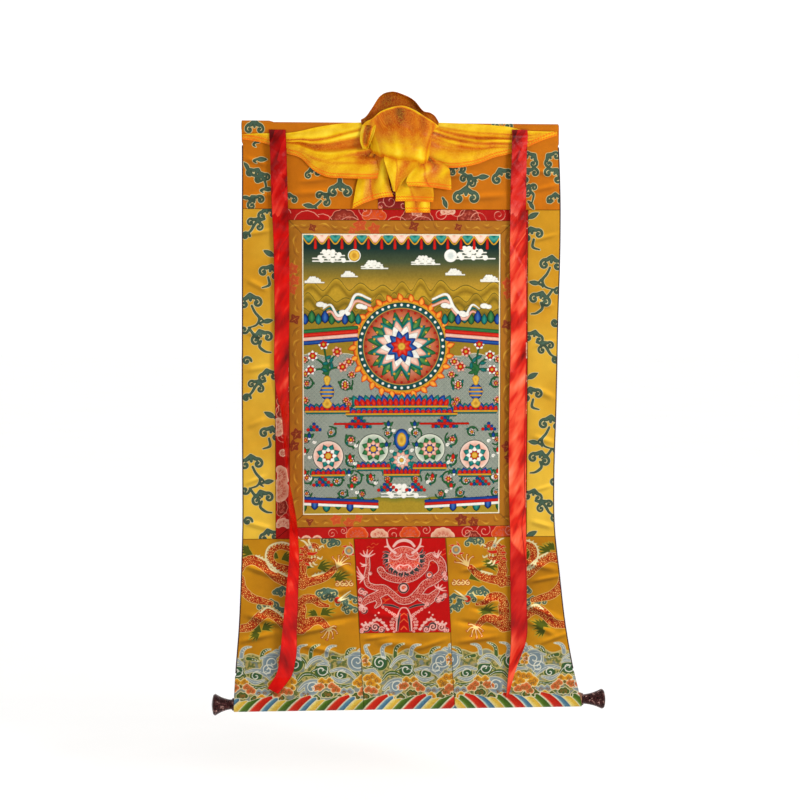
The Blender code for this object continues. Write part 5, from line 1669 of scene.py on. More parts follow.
def tail(name):
    """A tail between its two edges, with soft pleats across it that grow towards the hem. Its tone is
    painted shade near its top under the hood, in the pleats' hollows and along one fold line; the left
    loop is painted dark inside.
    """
    pleats, height, bow, columns, rows = TAIL_PLEATS[name]
    u, v = shares(columns, rows)
    x, z, out = between_edges(TAILS[name], u, np.linspace(0, 1, 5), v)
    z = z + bow * MM * np.sin(np.pi * u) * v ** 3
    pleat = height * MM * np.sin(2 * np.pi * pleats * u) * np.sin(np.pi * u) ** 0.5
    points = grid_of(x, -(out + pleat * fade(v, 0.1, 0.5)) + wave(x, z), z)
    tone = 0.7 + 0.16 * np.sin(2 * np.pi * pleats * u + 0.5) - 0.4 * fade(v, 0.35, 0.0)
    tone = tone + 0.14 * np.sin(15 * u + 5 * v) * fade(v, 0.9, 0.2)
    tone = tone - 0.25 * np.exp(-((u - 0.3 - 0.2 * v) / 0.03) ** 2)
    if name == "left_loop":
        tone = 0.9 - 0.85 * np.exp(-((u - 0.5) / 0.26) ** 4) * fade(v, 0, 0.15) * fade(v, 1, 0.8)
    return points, tone


# %% Silk finish
def silk_finish():
    """Its colour follows the tone: painted shade, deep orange, in the hollows, and painted light on folds
    that glow where the light comes through thin silk. Damask: thin contours of a noise that are glossier
    than the ground, and painted a little lighter, a painted sheen."""
    finish = Finish("yellow damask silk", specular_ior_level=0.1, anisotropic=0.3)
    across, down, hem = finish.field("across"), finish.field("down"), finish.field("hem")
    flat = finish.add("CombineXYZ", None, {0: across, 1: down}).outputs[0]
    figure = finish.sine(finish.times(finish.noise(0.07, 2, flat), 70))
    figure = finish.scale(figure, -0.1, 0.5)
    tone = finish.plus(finish.read("tone"),
                       finish.scale(finish.noise(0.03, 3, flat), 0.3, 0.7, -0.12, 0.12))
    colour = finish.bands(tone, [
        (0.0, 112, 46, 6), (0.2, 164, 64, 2), (0.42, 192, 88, 0), (0.62, 206, 130, 2),
        (0.85, 226, 178, 10), (1.05, 248, 214, 54)])
    # The damask figure is painted up to a sixth lighter: a painted sheen.
    colour = finish.mix(finish.times(figure, 0.16), colour, rgb(255, 214, 60))
    finish.tree.links.new(finish.scale(figure, 0.0, 1.0, 0.44, 0.3), finish.shader.inputs["Roughness"])
    zigzag = finish.math("PINGPONG", across, 2.6)
    for row in (2.0, 8.0):
        off = finish.math("ABSOLUTE", finish.math("SUBTRACT", hem, finish.plus(zigzag, row)))
        stitch = finish.scale(off, 1.1, 0.6)
        colour = finish.mix(stitch, colour, rgb(226, 84, 6))
        finish.raise_up(stitch, 0.6)
    colour = finish.mix(finish.scale(hem, 1.6, 0.8), colour, rgb(230, 104, 6))
    finish.raise_up(figure, 0.12)
    finish.raise_up(finish.sine(finish.times(down, 9)), 0.05)
    return finish.finish(colour, 0.3, 0.0004)


silk_sheets = [(points, cloth_fields(points, hem, tone)) for (points, tone), hem in (
    (hood(84, 128), False),
    (swag(SWAG_LEFT, LEFT_FOLDS, "right", 134, 56), True),
    (swag(SWAG_RIGHT, RIGHT_FOLDS, "left", 134, 48), True),
    *((tail(name), name not in ("left_loop", "middle_tail")) for name in TAILS),
)]
mesh = joined_sheets("silk_cover_cloth", silk_sheets, SILK)
silk = place_piece("silk_cover_cloth", mesh, [silk_finish()], ["silk_cover"])

# %% [markdown]
# ## Satin ribbons
#
# Each ribbon is a band between two edges, carried in front of whatever cloth hangs behind it. Satin
# shows every small crease, so slanted creases are pressed across it, and its long threads give it a
# gloss that runs down the ribbon.

# %% Ribbons
SATIN, RIBBON_WIDTH = 0.8 * MM, 0.035
RIBBONS = {
    "ribbon_left": table(
        TWO_EDGES,
        (-278, -17, 1.2, -243, -17, 1.2), (-277.5, -28, 7, -242.5, -28, 9),
        (-276, -54, 15, -241.5, -54, 17), (-275, -94, 12, -240.5, -94, 14),
        (-273.5, -164, 9, -239, -164, 11), (-270, -242, 9, -237, -242, 14),
        (-268, -404, 8, -237, -404, 18), (-265, -564, 7, -239.5, -564, 27),
        (-254, -615, 5, -238.5, -615, 34), (-250, -668, 4, -240, -668, 37),
        (-241.5, -742, 3, -238, -742, 38), (-231, -796, 4, -240.5, -796, 37),
        (-223, -844, 6, -238.5, -844, 37), (-219, -903, 9, -238.5, -903, 35),
        (-221, -1004, 9, -248, -1004, 28), (-223.5, -1064, 10, -253.5, -1064, 22),
        (-227, -1139, 12, -262, -1137, 15), (-236, -1172, 12, -267, -1164, 13),
        (-264, -1207, 10, -286, -1195, 11),
    ),
    "ribbon_right": table(
        TWO_EDGES,
        (231.6, -14, 7.2, 265, -14, 2.2), (231.5, -21, 12.5, 265, -21, 9.5),
        (231.4, -40, 17, 264.8, -40, 14), (231, -66, 16, 264, -54, 12), (230, -104, 12, 263, -104, 10),
        (229, -181, 10, 262.5, -181, 11), (228.5, -286, 11, 265, -286, 12),
        (231, -434, 10, 263.5, -434, 12), (228, -584, 11, 264.4, -584, 10),
        (229, -798, 11, 265.2, -798, 11), (231.2, -884, 15, 265.8, -854, 9),
        (231.8, -929, 9, 266.5, -909, 16), (233, -1014, 11, 268, -1014, 11),
        (233.5, -1112, 12, 266.5, -1104, 12), (229, -1164, 14, 249, -1150, 16),
        (223, -1223, 6, 228, -1220, 7),
    ),
}
# Creases pressed across each ribbon: how far down from its top, how steep, how high and how wide
RIBBON_CREASES = {
    "ribbon_left": table(
        "down slope height width",
        (48, 0.9, 1.6, 5), (68, -1.1, -1.3, 5), (92, 1.0, 1.5, 6), (110, 1.9, -1.4, 7),
        (137, -0.8, 1.2, 6), (158, 0.3, 1.2, 7), (176, -0.2, -1.0, 8), (196, 0.5, 1.2, 7),
        (226, -0.3, 1.0, 9), (252, 0.2, -1.0, 9), (282, 0.4, 1.0, 9), (322, -0.4, 0.9, 10),
        (368, 0.3, 0.9, 12), (420, -0.5, 0.8, 12), (496, 0.6, 0.8, 14),
    ),
    "ribbon_right": table(
        "down slope height width",
        (38, 1.6, 1.2, 5), (64, -0.5, 1.2, 6), (88, 0.9, 1.3, 6), (120, -0.6, 1.2, 7),
        (150, 0.3, -1.0, 8), (186, 0.6, 1.0, 8), (230, -0.4, 0.9, 9), (262, 1.8, -1.0, 6),
        (300, -1.9, 1.2, 6), (350, 1.6, 1.0, 8), (420, -0.4, 0.8, 10), (520, 0.5, 0.8, 12),
        (640, 0.4, 0.9, 12), (760, 0.2, 0.8, 14),
    ),
}


def ribbon(name, columns, rows):
    """A satin band between its edges: creases, and a faint cup across it, bend it a little."""
    shape = RIBBONS[name]
    length = np.concatenate([[0], np.cumsum(-np.diff(shape["left_z"]))])
    u, v = shares(columns, rows)
    down = v * length[-1]
    x, z, out = between_edges(shape, u, length, down)
    bend = 0.8 * MM * np.sin(np.pi * u) * np.sin(down / (45 * MM))
    for at, slope, height, width in zip(*RIBBON_CREASES[name].values()):
        across = (u - 0.5) * 34 * MM
        bend = bend + height * np.exp(-((down - at - slope / MM * across) / width) ** 2)
    return grid_of(x, cloth_front(x, z) - out - bend * fade(down, 0.0, 30 * MM), z)


def satin_finish(name, deep, light, glint, shades):
    """Satin: fine threads along it, a folded edge, and wrinkles whose sides turn dark and bright in painted
    shade and painted highlights. On its shades, each from one length down it to another, painted shade
    darkens the ribbon where it is turned away from the light."""
    finish = Finish(name, roughness=0.3, specular_ior_level=0.14, anisotropic=0.4)
    across, down = finish.field("across"), finish.field("down")
    slanted = finish.add("CombineXYZ", None, {
        0: finish.plus(across, finish.times(down, 0.45)),
        1: finish.times(down, 0.4)}).outputs[0]
    facets = finish.add("TexVoronoi", None, {"Vector": slanted, "Scale": 0.06}).outputs["Color"]
    crumpled = finish.scale(down, 180, 320, 0.5, 0.08)
    wrinkles = finish.plus(finish.noise(0.035, 2, slanted),
                           finish.times(crumpled, finish.math("SUBTRACT", facets, 0.5)))
    colour = finish.bands(wrinkles, [(0.2, 96, 0, 0), (0.44, *deep), (0.6, *light), (0.86, *glint)])
    finish.raise_up(wrinkles, 1.0)
    finish.raise_up(finish.sine(finish.times(across, 12)), 0.006)
    slant = finish.plus(down, finish.times(across, -1.1))
    for start, end in shades:
        painted_shade_share = finish.times(finish.scale(slant, start, start + 9),
                                  finish.scale(slant, end + 60, end))
        shaded = finish.mix(1.0, colour, (0.66, 0.1, 0.1, 1.0), "MULTIPLY")
        colour = finish.mix(painted_shade_share, colour, shaded)
    edge = finish.math("PINGPONG", across, 17.4)
    colour = finish.mix(finish.scale(edge, 1.2, 0.5), colour, rgb(140, 4, 2))
    return finish.finish(colour, 0.6, 0.006)


# The two ribbons are one satin in a darker and a lighter copy: painted shade on the left one and painted
# light on the right.
SATINS = {
    "ribbon_left": satin_finish(
        "red satin in shade", (182, 2, 0), (212, 10, 0), (255, 104, 70), [(-60, 130)]),
    "ribbon_right": satin_finish(
        "red satin in light", (208, 30, 12), (238, 92, 58), (255, 152, 118), [(-60, 150), (865, 1050)]),
}
RIBBON_COLUMNS, RIBBON_ROWS = 15, 430
for name in RIBBONS:
    points = ribbon(name, RIBBON_COLUMNS, RIBBON_ROWS)
    mesh = joined_sheets(name + "_satin", [(points, cloth_fields(points))], SATIN)
    piece = place_piece(name + "_satin", mesh, [SATINS[name]], [name])
    length = float(walked(points, 0)[-1, RIBBON_COLUMNS // 2])

# %% [markdown]
# ## The red door
#
# A square of red dragon silk is sewn on the middle of the lower panels. Its dragon faces forward over a
# peak in the waves, and is woven in pale pink thread with dark green shadows.


# %% Door pattern
DOOR_MIDDLE = 466


def mirrored(places, side):
    """Places on the door's chart, or with side -1 their mirror image about its middle."""
    return [(DOOR_MIDDLE + side * (x - DOOR_MIDDLE), y) for x, y in places]


def door_pattern(draw):
    """A dragon with its face to the front over a peak and waves; its parts on both sides are mirrored."""
    at = chart(-109.6, -859.5, 0.246)
    body = curve(*at(
        (262, 356), (300, 404), (380, 434), (470, 440), (560, 412), (640, 340), (660, 270), (716, 240),
        (786, 290), (796, 380), (730, 444), (650, 486), (590, 556), (512, 620), (430, 622), (356, 562),
        (290, 512), (214, 506), (150, 476), (138, 410), (152, 330), (150, 236)))
    draw.brush("scaled", body, 7.5, 9.5, 4.5)
    for places, thick in (
        ([(300, 540), (220, 582), (140, 620), (104, 660)], (9, 9, 5)),
        ([(220, 582), (250, 640), (220, 680)], (7, 6, 3)),
        ([(620, 600), (690, 600), (740, 560), (770, 520)], (9, 8, 4)),
        ([(640, 620), (680, 640), (720, 620)], (7, 6, 4)),
    ):
        draw.brush("scaled", curve(*at(*places)), *thick)
    for foot, toes in (
        ((150, 240), ((84, 206), (112, 184), (150, 176), (196, 184), (214, 212))),
        ((140, 310), ((84, 290), (96, 320))),
        ((772, 522), ((730, 486), (764, 480), (800, 486), (828, 510), (836, 540))),
        ((760, 250), ((792, 196), (770, 186), (730, 196), (712, 210))),
        ((104, 660), ((70, 640), (74, 680), (110, 706), (150, 700))),
        ((120, 420), ((58, 322), (54, 362), (56, 402), (64, 436), (80, 468))),
    ):
        for toe in toes:
            path = curve(*at(foot, ((foot[0] + toe[0]) / 2 - 6, (foot[1] + toe[1]) / 2 + 5), toe))
            draw.brush("claw", path, 1.7, 1.3, 0.6)
    draw.disc("face", *at((DOOR_MIDDLE, 262))[0], 33, 27)
    for k in range(13):
        angle = math.radians(-196 + 17.5 * k)
        foot = at((DOOR_MIDDLE + 128 * math.cos(angle), 250 - 112 * math.sin(angle)))[0]
        for more in (-0.35, 0.2, 0.7):
            lean = angle + (more if k < 6 else -more if k > 6 else more - 0.2)
            tuft = curve(foot, foot + 8 * heading(lean), foot + 15 * heading(lean + 0.3))
            draw.brush("dark", tuft, 1.8, 1.7, 0.3)
        draw.stroke("claw", [foot, foot + 11 * heading(angle)], [0.9, 0.3])
    for side in (1, -1):
        for field, places, thick in (
            ("claw", [(392, 208), (352, 178), (326, 134), (316, 84)], (2.8, 2.2, 1.0)),
            ("claw", [(346, 168), (322, 152), (296, 154)], (2.0, 1.6, 0.8)),
            ("dark", [(376, 186), (404, 176), (424, 190)], (1.6, 2.4, 1.6)),
            ("claw", [(376, 150), (404, 118), (438, 102), (466, 98)], (2.4, 3.0, 3.0)),
            ("claw", [(380, 226), (410, 240), (440, 222)], (1.0, 1.0, 1.0)),
            ("claw", [(448, 214), (440, 240), (410, 262), (362, 262), (336, 230)], (1.2, 1.2, 0.8)),
            ("claw", [(466, 320), (430, 312), (402, 336), (410, 366), (444, 380)], (1.2, 1.2, 1.0)),
            ("claw", [(424, 330), (432, 352)], (1.4, 1.0, 0.6)),
            ("dark", [(450, 246), (458, 254)], (1.2, 1.4, 1.0)),
            ("fire", [(372, 288), (340, 300), (322, 336)], (1.0, 1.2, 0.4)),
            ("dark", [(286, 660), (360, 668), (420, 690)], (1.0, 1.8, 1.0)),
            ("claw", [(398, 890), (404, 800), (416, 740), (440, 694), (466, 686)], (1.4, 1.2, 1.0)),
            ("dark", [(412, 890), (420, 800), (432, 744)], (0.8, 1.6, 0.8)),
            ("fire", [(440, 880), (466, 850)], (1.2, 1.4, 1.0)),
            ("fire", [(430, 820), (466, 786)], (1.0, 1.2, 1.0)),
            ("fire", [(436, 760), (466, 736)], (1.0, 1.2, 1.0)),
        ):
            draw.brush(field, curve(*at(*mirrored(places, side))), *thick)
        foam = [(376, 890), (366, 820), (400, 762), (350, 726), (280, 676)]
        for k, (x, z) in enumerate(curve(*at(*mirrored(foam, side)), steps=5)):
            spot = x - side * (3.5 if k % 2 else -1), z + (2 if k % 2 else -2)
            draw.disc("claw", *spot, 2.5)
            draw.disc("fire", *spot, 1.1)
        wave_top = [(330, 890), (290, 830), (230, 790), (170, 830), (100, 840)]
        for k, (x, z) in enumerate(curve(*at(*mirrored(wave_top, side)))):
            draw.disc("claw", x, z + (3 if k % 3 == 0 else 0), 2.4)
        for x, y, size in ((140, 862, 8), (214, 856, 9), (270, 880, 7), (100, 890, 6)):
            spot = at(*mirrored([(x, y)], side))[0]
            draw.disc("dark", *spot, size)
            draw.stroke("claw", spiral(*spot, size, 1.4, 0.4, side), 1.0)
        for x, y in ((216, 752), (246, 730), (130, 812), (316, 700)):
            draw.disc("claw", *at(*mirrored([(x, y)], side))[0], 1.9)
    for x, y, size in (
        (96, 540, 11), (126, 560, 9), (84, 606, 9), (120, 706, 12), (90, 690, 8), (826, 432, 10),
        (812, 392, 8), (790, 604, 11), (762, 622, 9), (822, 580, 8), (670, 660, 8), (172, 384, 6),
    ):
        spot = at((x, y))[0]
        draw.disc("dark", *spot, size * 0.6)
        draw.stroke("claw", spiral(*spot, size * 0.62, 1.3, x, 1 if x < DOOR_MIDDLE else -1), 1.0)
    for x, y, radius in ((462, 515, 11), (686, 402, 7)):
        spot = at((x, y))[0]
        draw.disc("dark", *spot, radius)
        draw.disc("claw", *spot, radius * 0.72)
        draw.stroke("fire", spiral(*spot, radius * 0.42, 1.1, 0.3), 1.1)
    for k in range(26):
        spot = at((120 + 700 * ((k * 0.618) % 1), 130 + 560 * ((k * 0.381 + 0.1) % 1)))[0]
        path = curve(spot, spot + (5, 3 if k % 2 else -3), spot + (10, -1), spot + (15, 2))
        draw.stroke("thin", path, 0.75)


def door_finish():
    """Bright red silk: thin threads, the scaled body, dark leaves, the face, then the pale lines."""
    finish = Finish("red dragon silk", roughness=0.42, specular_ior_level=0.08)
    colour = finish.mix(finish.noise(12, 3), rgb(204, 8, 6), rgb(182, 4, 4))
    colour = finish.layer(colour, "thin", (0.0, 226, 84, 40))
    scales = finish.bands(finish.net(250.0), [(0.0, 230, 164, 144), (0.04, 222, 130, 110),
                                              (0.1, 194, 34, 26), (0.5, 164, 10, 10)])
    body = finish.field("scaled")
    colour = finish.mix(finish.scale(body, -1.0, -0.5), colour, rgb(120, 12, 14))
    colour = finish.mix(finish.scale(body, -0.2, 0.2), colour, rgb(244, 190, 176))
    colour = finish.mix(finish.scale(body, 1.0, 1.5), colour, scales)
    colour = finish.layer(colour, "dark", (-0.9, 236, 150, 140), (-0.2, 90, 60, 60),
                          (0.3, 34, 58, 56), (4, 48, 74, 70))
    petals = finish.bands(finish.net(190.0), [(0.0, 236, 150, 130), (0.07, 226, 96, 76),
                                              (0.2, 208, 44, 36), (0.5, 216, 70, 60)])
    face = finish.field("face")
    colour = finish.mix(finish.scale(face, -1.0, -0.6), colour, rgb(246, 196, 190))
    colour = finish.mix(finish.scale(face, 0.4, 0.8), colour, petals)
    colour = finish.layer(colour, "claw", (-0.7, 186, 26, 26), (-0.1, 230, 130, 116),
                          (0.6, 242, 190, 178))
    colour = finish.layer(colour, "fire", (-0.2, 214, 30, 20), (0.4, 236, 96, 44))
    colour = finish.creased(finish.mottle(finish.weave(colour, 0.7 * MM, 0.14), 40, 0.86, 0.98))
    finish.raise_up(finish.scale(body, -1.0, 0.5), 0.6)
    finish.raise_up(finish.scale(finish.field("claw"), -1.0, 0.3), 0.5)
    return finish.finish(colour)


FORWARD = CLOTH / 2 + 0.5 * MM + APPLIED / 2
DOOR_TOP, DOOR_FOOT = -879 * MM, -1083 * MM
DOOR = (line(-101.5 * MM, DOOR_TOP, -89.5 * MM, DOOR_FOOT), line(93.5 * MM, DOOR_TOP, 106.5 * MM, DOOR_FOOT),
        level(DOOR_TOP), level(DOOR_FOOT))
PATCH = upright(-50 * MM), upright(61 * MM), level(-116 * MM), level(-180 * MM)
PATCH_FINISH = red_finish("dark red brocade", rgb(158, 36, 30), rgb(122, 16, 16))
sheet_piece("door_panel", flat_grid(*DOOR, 1.4 * MM, APPLIED, FORWARD),
            door_pattern, door_finish())
sheet_piece("upper_patch", flat_grid(*PATCH, 1.8 * MM, APPLIED, FORWARD),
            red_pattern, PATCH_FINISH)

# %% [markdown]
# ## The painted canvas
#
# The picture is painted with ground mineral colours on sized cotton, which dry matt, and is finished
# with thin gold lines. What it shows here is a plain ornamental layout: a night sky with clouds over
# golden hills, a great lotus wheel, vases of flowers, and a lake with lotuses and heaps of gems. Each
# colour is one field, painted over the ones before it.


# %% Painted motifs
def lotus(draw, x, z, size, fields, count=8, first=0.0, heart=0.3):
    """An open flower: one ring of petals for each field, each ring smaller than the last."""
    for ring, field in enumerate(fields):
        reach = size * (1 - 0.3 * ring)
        for k in range(count):
            angle = first + 2 * math.pi * (k + 0.5 * ring) / count
            draw.petal(field, x, z, reach, reach * 4.6 / count, angle)
    draw.disc("gold", x, z, size * heart)


def lotus_row(draw, x, z, width, count, height):
    """A seat of upright petals: dark green and blue in turn, each with a red one on it, on a gold sill."""
    for k in range(count):
        centre = x + width * ((k + 0.5) / count - 0.5)
        lean = math.pi / 2 - 0.9 * (centre - x) / width
        wide = width / count
        draw.petal("blue" if k % 2 else "teal", centre, z - height * 0.1, height * 1.15, wide * 1.3, lean)
        draw.petal("red", centre, z, height * 0.66, wide * 0.8, lean)
    draw.stroke("gold", [(x - width / 2, z - 1.5), (x + width / 2, z - 1.5)], 1.3)
    draw.stroke("teal", [(x - width / 2 + 3, z - 4.5), (x + width / 2 - 3, z - 4.5)], 1.6)


def gems(draw, x, z, rows, size=3.0):
    """A heap of gems: each row holds two less than the row below it."""
    for row in range(rows):
        for k in range(2 * (rows - row) - 1):
            field = ("red", "blue", "teal")[(k + 2 * row) % 3]
            draw.disc(field, x + (k - rows + row + 1) * size * 2.1, z + row * size * 2.0, size)


def vine(draw, x, z, radius, hand, flower="pink"):
    """A scroll of foliage: a stem that winds in to a flower, with leaves on its two sides in turn."""
    path = spiral(x, z, radius, 1.3, 1.0 + x, hand)
    draw.brush("green", path, 0.8, 1.4, 1.2)
    for k in range(2, len(path) - 5, 3):
        way = path[k + 1] - path[k]
        lean = math.atan2(way[1], way[0])
        draw.petal("teal" if k % 2 else "green", *path[k], radius * 0.4, radius * 0.2, lean + 0.9 * (-1) ** k)
    lotus(draw, x, z, radius * 0.4, (flower, "red"), 6, x, 0.3)


def puff(draw, x, z, width):
    """A bank of cloud: streaks with round heads that shrink upwards."""
    for row in range(4):
        reach = width * (0.5 - 0.1 * row)
        up = z + row * width * 0.07
        shift = width * 0.05 * (-1) ** row
        draw.stroke("white", [(x - reach + shift, up), (x + reach + shift, up)], [0.8, 0.8])
        for k in range(3):
            draw.disc("white", x + shift + (k - 1) * reach * 0.55, up + 2, width * 0.055)


def tree(draw, x, z, size, field):
    """A pointed tree: a dark petal under a coloured one, with three short twigs."""
    draw.petal("dark", x, z, size * 1.1, size * 0.66, math.pi / 2)
    draw.petal(field, x, z + size * 0.07, size * 0.94, size * 0.5, math.pi / 2)
    for k in range(3):
        up = z + size * (0.2 + 0.2 * k)
        draw.stroke("line", [(x, up), (x + size * 0.12, up + size * 0.1)], 0.6)


def vase(draw, x, z, hand):
    """A gold vase with a blue belly, and sprigs with flowers and leaves that spread from its neck."""
    draw.disc("blue", x, z, 14, 16)
    for rise, half in ((-8, 11), (0, 14), (8, 11)):
        draw.stroke("gold", [(x - half, z + rise), (x + half, z + rise)], 1.2)
    draw.stroke("gold", [(x, z - 20), (x, z - 24)], [6, 10])
    draw.stroke("gold", [(x, z + 18), (x, z + 27)], [4, 7])
    for lean, length in ((-0.9, 42), (-0.35, 62), (0.1, 74), (0.55, 58), (1.05, 40)):
        tip = (x + hand * length * math.sin(lean), z + 27 + length * math.cos(lean))
        path = curve((x, z + 27), (x + hand * length * 0.2 * math.sin(lean), z + 27 + length * 0.5), tip)
        draw.stroke("green", path, 1.3)
        draw.petal("green", *path[4], 13, 6, math.pi / 2 - lean + 0.9)
        draw.petal("teal", *path[7], 12, 6, math.pi / 2 - lean - 0.9)
        lotus(draw, *tip, 11, ("white", "red") if lean > 0 else ("pink", "red"), 6, lean, 0.24)


# %% The picture
WHEEL_Z = -470


def picture_pattern(draw):
    """The layout, from the valance and the sky down to the lake's near shore; it is nearly mirrored."""
    for row, (z, height, pitch) in enumerate(((-352, 26, 47), (-376, 20, 35), (-397, 15, 29))):
        ridge = z + height * (0.72 + 0.28 * np.sin(draw.x / 31 + 2 * row)) * np.abs(
            np.cos(np.pi * (draw.x / pitch + row * 0.5 + 0.2 * np.sin(draw.x / 50)))) ** 1.6
        draw.join("hills%d" % row, slice(None), (ridge - draw.z) * 0.7)
    draw.join("lake", slice(None), -487 + 3 * np.sin(draw.x / 11) - draw.z)
    draw.join("shore", slice(None), -792 + 2 * np.sin(draw.x / 9) - draw.z)
    for k in range(15):
        x = -196 + 28 * k
        draw.stroke("pink" if k % 2 else "teal", curve((x - 14, -230), (x, -244), (x + 14, -230)), 6.5)
        draw.stroke("gold", curve((x - 14, -238), (x, -254), (x + 14, -238)), 0.9)
        draw.stroke("red", [(x + 14, -240), (x + 14, -262)], [1.2, 2.6])
    for x, z, width in ((-150, -290, 84), (-60, -305, 56), (48, -296, 60), (148, -284, 92), (-186, -335, 40),
                        (188, -332, 44), (-112, -322, 34), (112, -318, 40)):
        puff(draw, x, z, width)
    for x, field in ((-100, "gold"), (104, "pale")):
        draw.disc("white", x, -278, 13)
        draw.disc(field, x, -278, 11)
    for x, z in ((-172, -381), (-124, -398), (-88, -385), (92, -383), (128, -400), (176, -384)):
        draw.disc("white", x, z, 8, 5)
        draw.disc("white", x + 9, z - 2, 6, 4)
    for k in range(9):
        for side in (-1, 1):
            field = ("teal", "green", "blue")[k % 3]
            tree(draw, side * (92 + 14 * k), -424 + 3 * (k % 2), 22 + 4 * (k % 2), field)
    for side in (-1, 1):
        for row, field in enumerate(("green", "red", "pink", "blue")):
            z = -430 - 8 * row
            draw.stroke(field, [(side * 96, z), (side * 210, z - 9)], 3.6)
            draw.stroke("line", [(side * 96, z - 4), (side * 210, z - 13)], 0.7)
        vase(draw, side * 158, -566, side)
    draw.disc("flames", 0, WHEEL_Z, 103)
    draw.disc("wheel", 0, WHEEL_Z, 96)
    for angle in np.arange(28) * 2 * math.pi / 28:
        foot = heading(angle) * 96 + (0, WHEEL_Z)
        draw.petal("fire", *foot, 17, 11, angle + 0.35)
    for size, count, field in ((74, 16, "green"), (66, 12, "teal"), (54, 12, "pink"), (44, 10, "white"),
                               (33, 10, "blue"), (22, 8, "red")):
        lotus(draw, 0, WHEEL_Z, size, (field,), count, 0.13 * size, 0.1)
    for radius, count, size, field in ((88, 40, 2.4, "white"), (76, 32, 1.8, "red"), (60, 24, 2.2, "gold")):
        for angle in np.arange(count) * 2 * math.pi / count:
            draw.disc(field, *heading(angle) * radius + (0, WHEEL_Z), size)
    for side in (-1, 1):
        for lift, field in ((0, "pink"), (7, "teal"), (14, "white")):
            scarf = curve((side * 66, -384 + lift), (side * 96, -374 + lift), (side * 112, -396 + lift / 2),
                          (side * 134, -412 + lift / 2), (side * 150, -396 + lift), (side * 166, -404 + lift))
            draw.brush(field, scarf, 1.6, 3.0, 0.6)
        for x, z, size in ((112, -505, 14), (106, -532, 12), (120, -556, 13), (206, -500, 12),
                           (204, -530, 11), (205, -586, 12), (118, -586, 10)):
            for k in range(3):
                draw.petal("green", side * x, z - 4, size, size * 0.5, math.pi / 2 + 0.9 * (k - 1))
            lotus(draw, side * x, z + 3, size * 0.62, ("pink", "red"), 6, x, 0.3)
    lotus_row(draw, 0, -596, 196, 17, 23)
    lotus_row(draw, 0, -612, 236, 21, 12)
    for side in (-1, 1):
        lotus_row(draw, side * 158, -606, 92, 9, 15)
        gems(draw, side * 92, -640, 5)
        gems(draw, side * 186, -646, 3)
        gems(draw, side * 30, -776, 4)
        gems(draw, side * 168, -764, 4)
        draw.stroke("red", [(side * 40, -634), (side * 142, -634)], 1.6)
        for k in range(2):
            x, z = side * (60 + 96 * k), -700 - 14 * k
            draw.disc("line", x, z + 12, 33)
            draw.disc("rose" if k else "pale", x, z + 12, 31.5)
            rings = ("teal", "white", "red") if k else ("green", "pink", "blue")
            lotus(draw, x, z + 12, 25, rings, 8, 0.4, 0.24)
            lotus_row(draw, x, z - 28, 70, 7, 13)
    draw.disc("blue", 0, -668, 15, 22)
    draw.disc("gold", 0, -668, 9, 14)
    lotus(draw, 0, -668, 20, ("teal", "white", "red"), 6, 0.5, 0.2)
    lotus_row(draw, 0, -742, 74, 9, 16)
    lotus(draw, 0, -712, 26, ("teal", "pink", "white", "red"), 9, 0.3, 0.16)
    puff(draw, 0, -790, 96)
    for x, z, size, flower in ((112, -592, 14, "pink"), (120, -548, 17, "white"), (201, -548, 14, "pink"),
                               (30, -654, 13, "white"), (108, -668, 17, "pink"), (150, -652, 13, "white"),
                               (204, -668, 13, "pink"), (108, -712, 15, "white"), (100, -752, 18, "pink"),
                               (138, -756, 14, "white"), (202, -748, 15, "pink"), (64, -752, 14, "white"),
                               (30, -752, 13, "pink"), (126, -782, 12, "white"), (84, -784, 12, "pink"),
                               (202, -782, 11, "white")):
        for side in (-1, 1):
            vine(draw, side * x, z, size, side, flower)
    for x, z in ((196, -664), (112, -742), (28, -640), (108, -672), (206, -742), (106, -772), (66, -752),
                 (110, -710), (206, -696), (32, -684)):
        for side in (-1, 1):
            for turn in (-0.8, 0, 0.8):
                draw.petal("green", side * x, z, 13, 6, math.pi / 2 + turn)
            draw.petal("red" if x % 4 else "blue", side * x, z + 1, 9, 6, math.pi / 2)
            draw.disc("white", side * x, z - 1, 2.4)
            draw.stroke("white", spiral(side * (x - 10), z - 8, 4.4, 1.1, 0.4, side), 0.8)
    for side in (-1, 1):
        for k in range(7):
            tree(draw, side * (60 + 25 * k), -822 + 5 * (k % 2), 26, ("green", "teal", "blue")[k % 3])
        for row, field in enumerate(("blue", "red", "white")):
            draw.stroke(field, [(side * 52, -800 - 6 * row), (side * 210, -792 - 6 * row)], 2.4)
    left, right, top, bottom = (side / MM for side in PICTURE)
    edge = np.minimum.reduce([draw.x - left, right - draw.x, top - draw.z, draw.z - bottom])
    draw.join("rim", slice(None), 2.6 - edge)


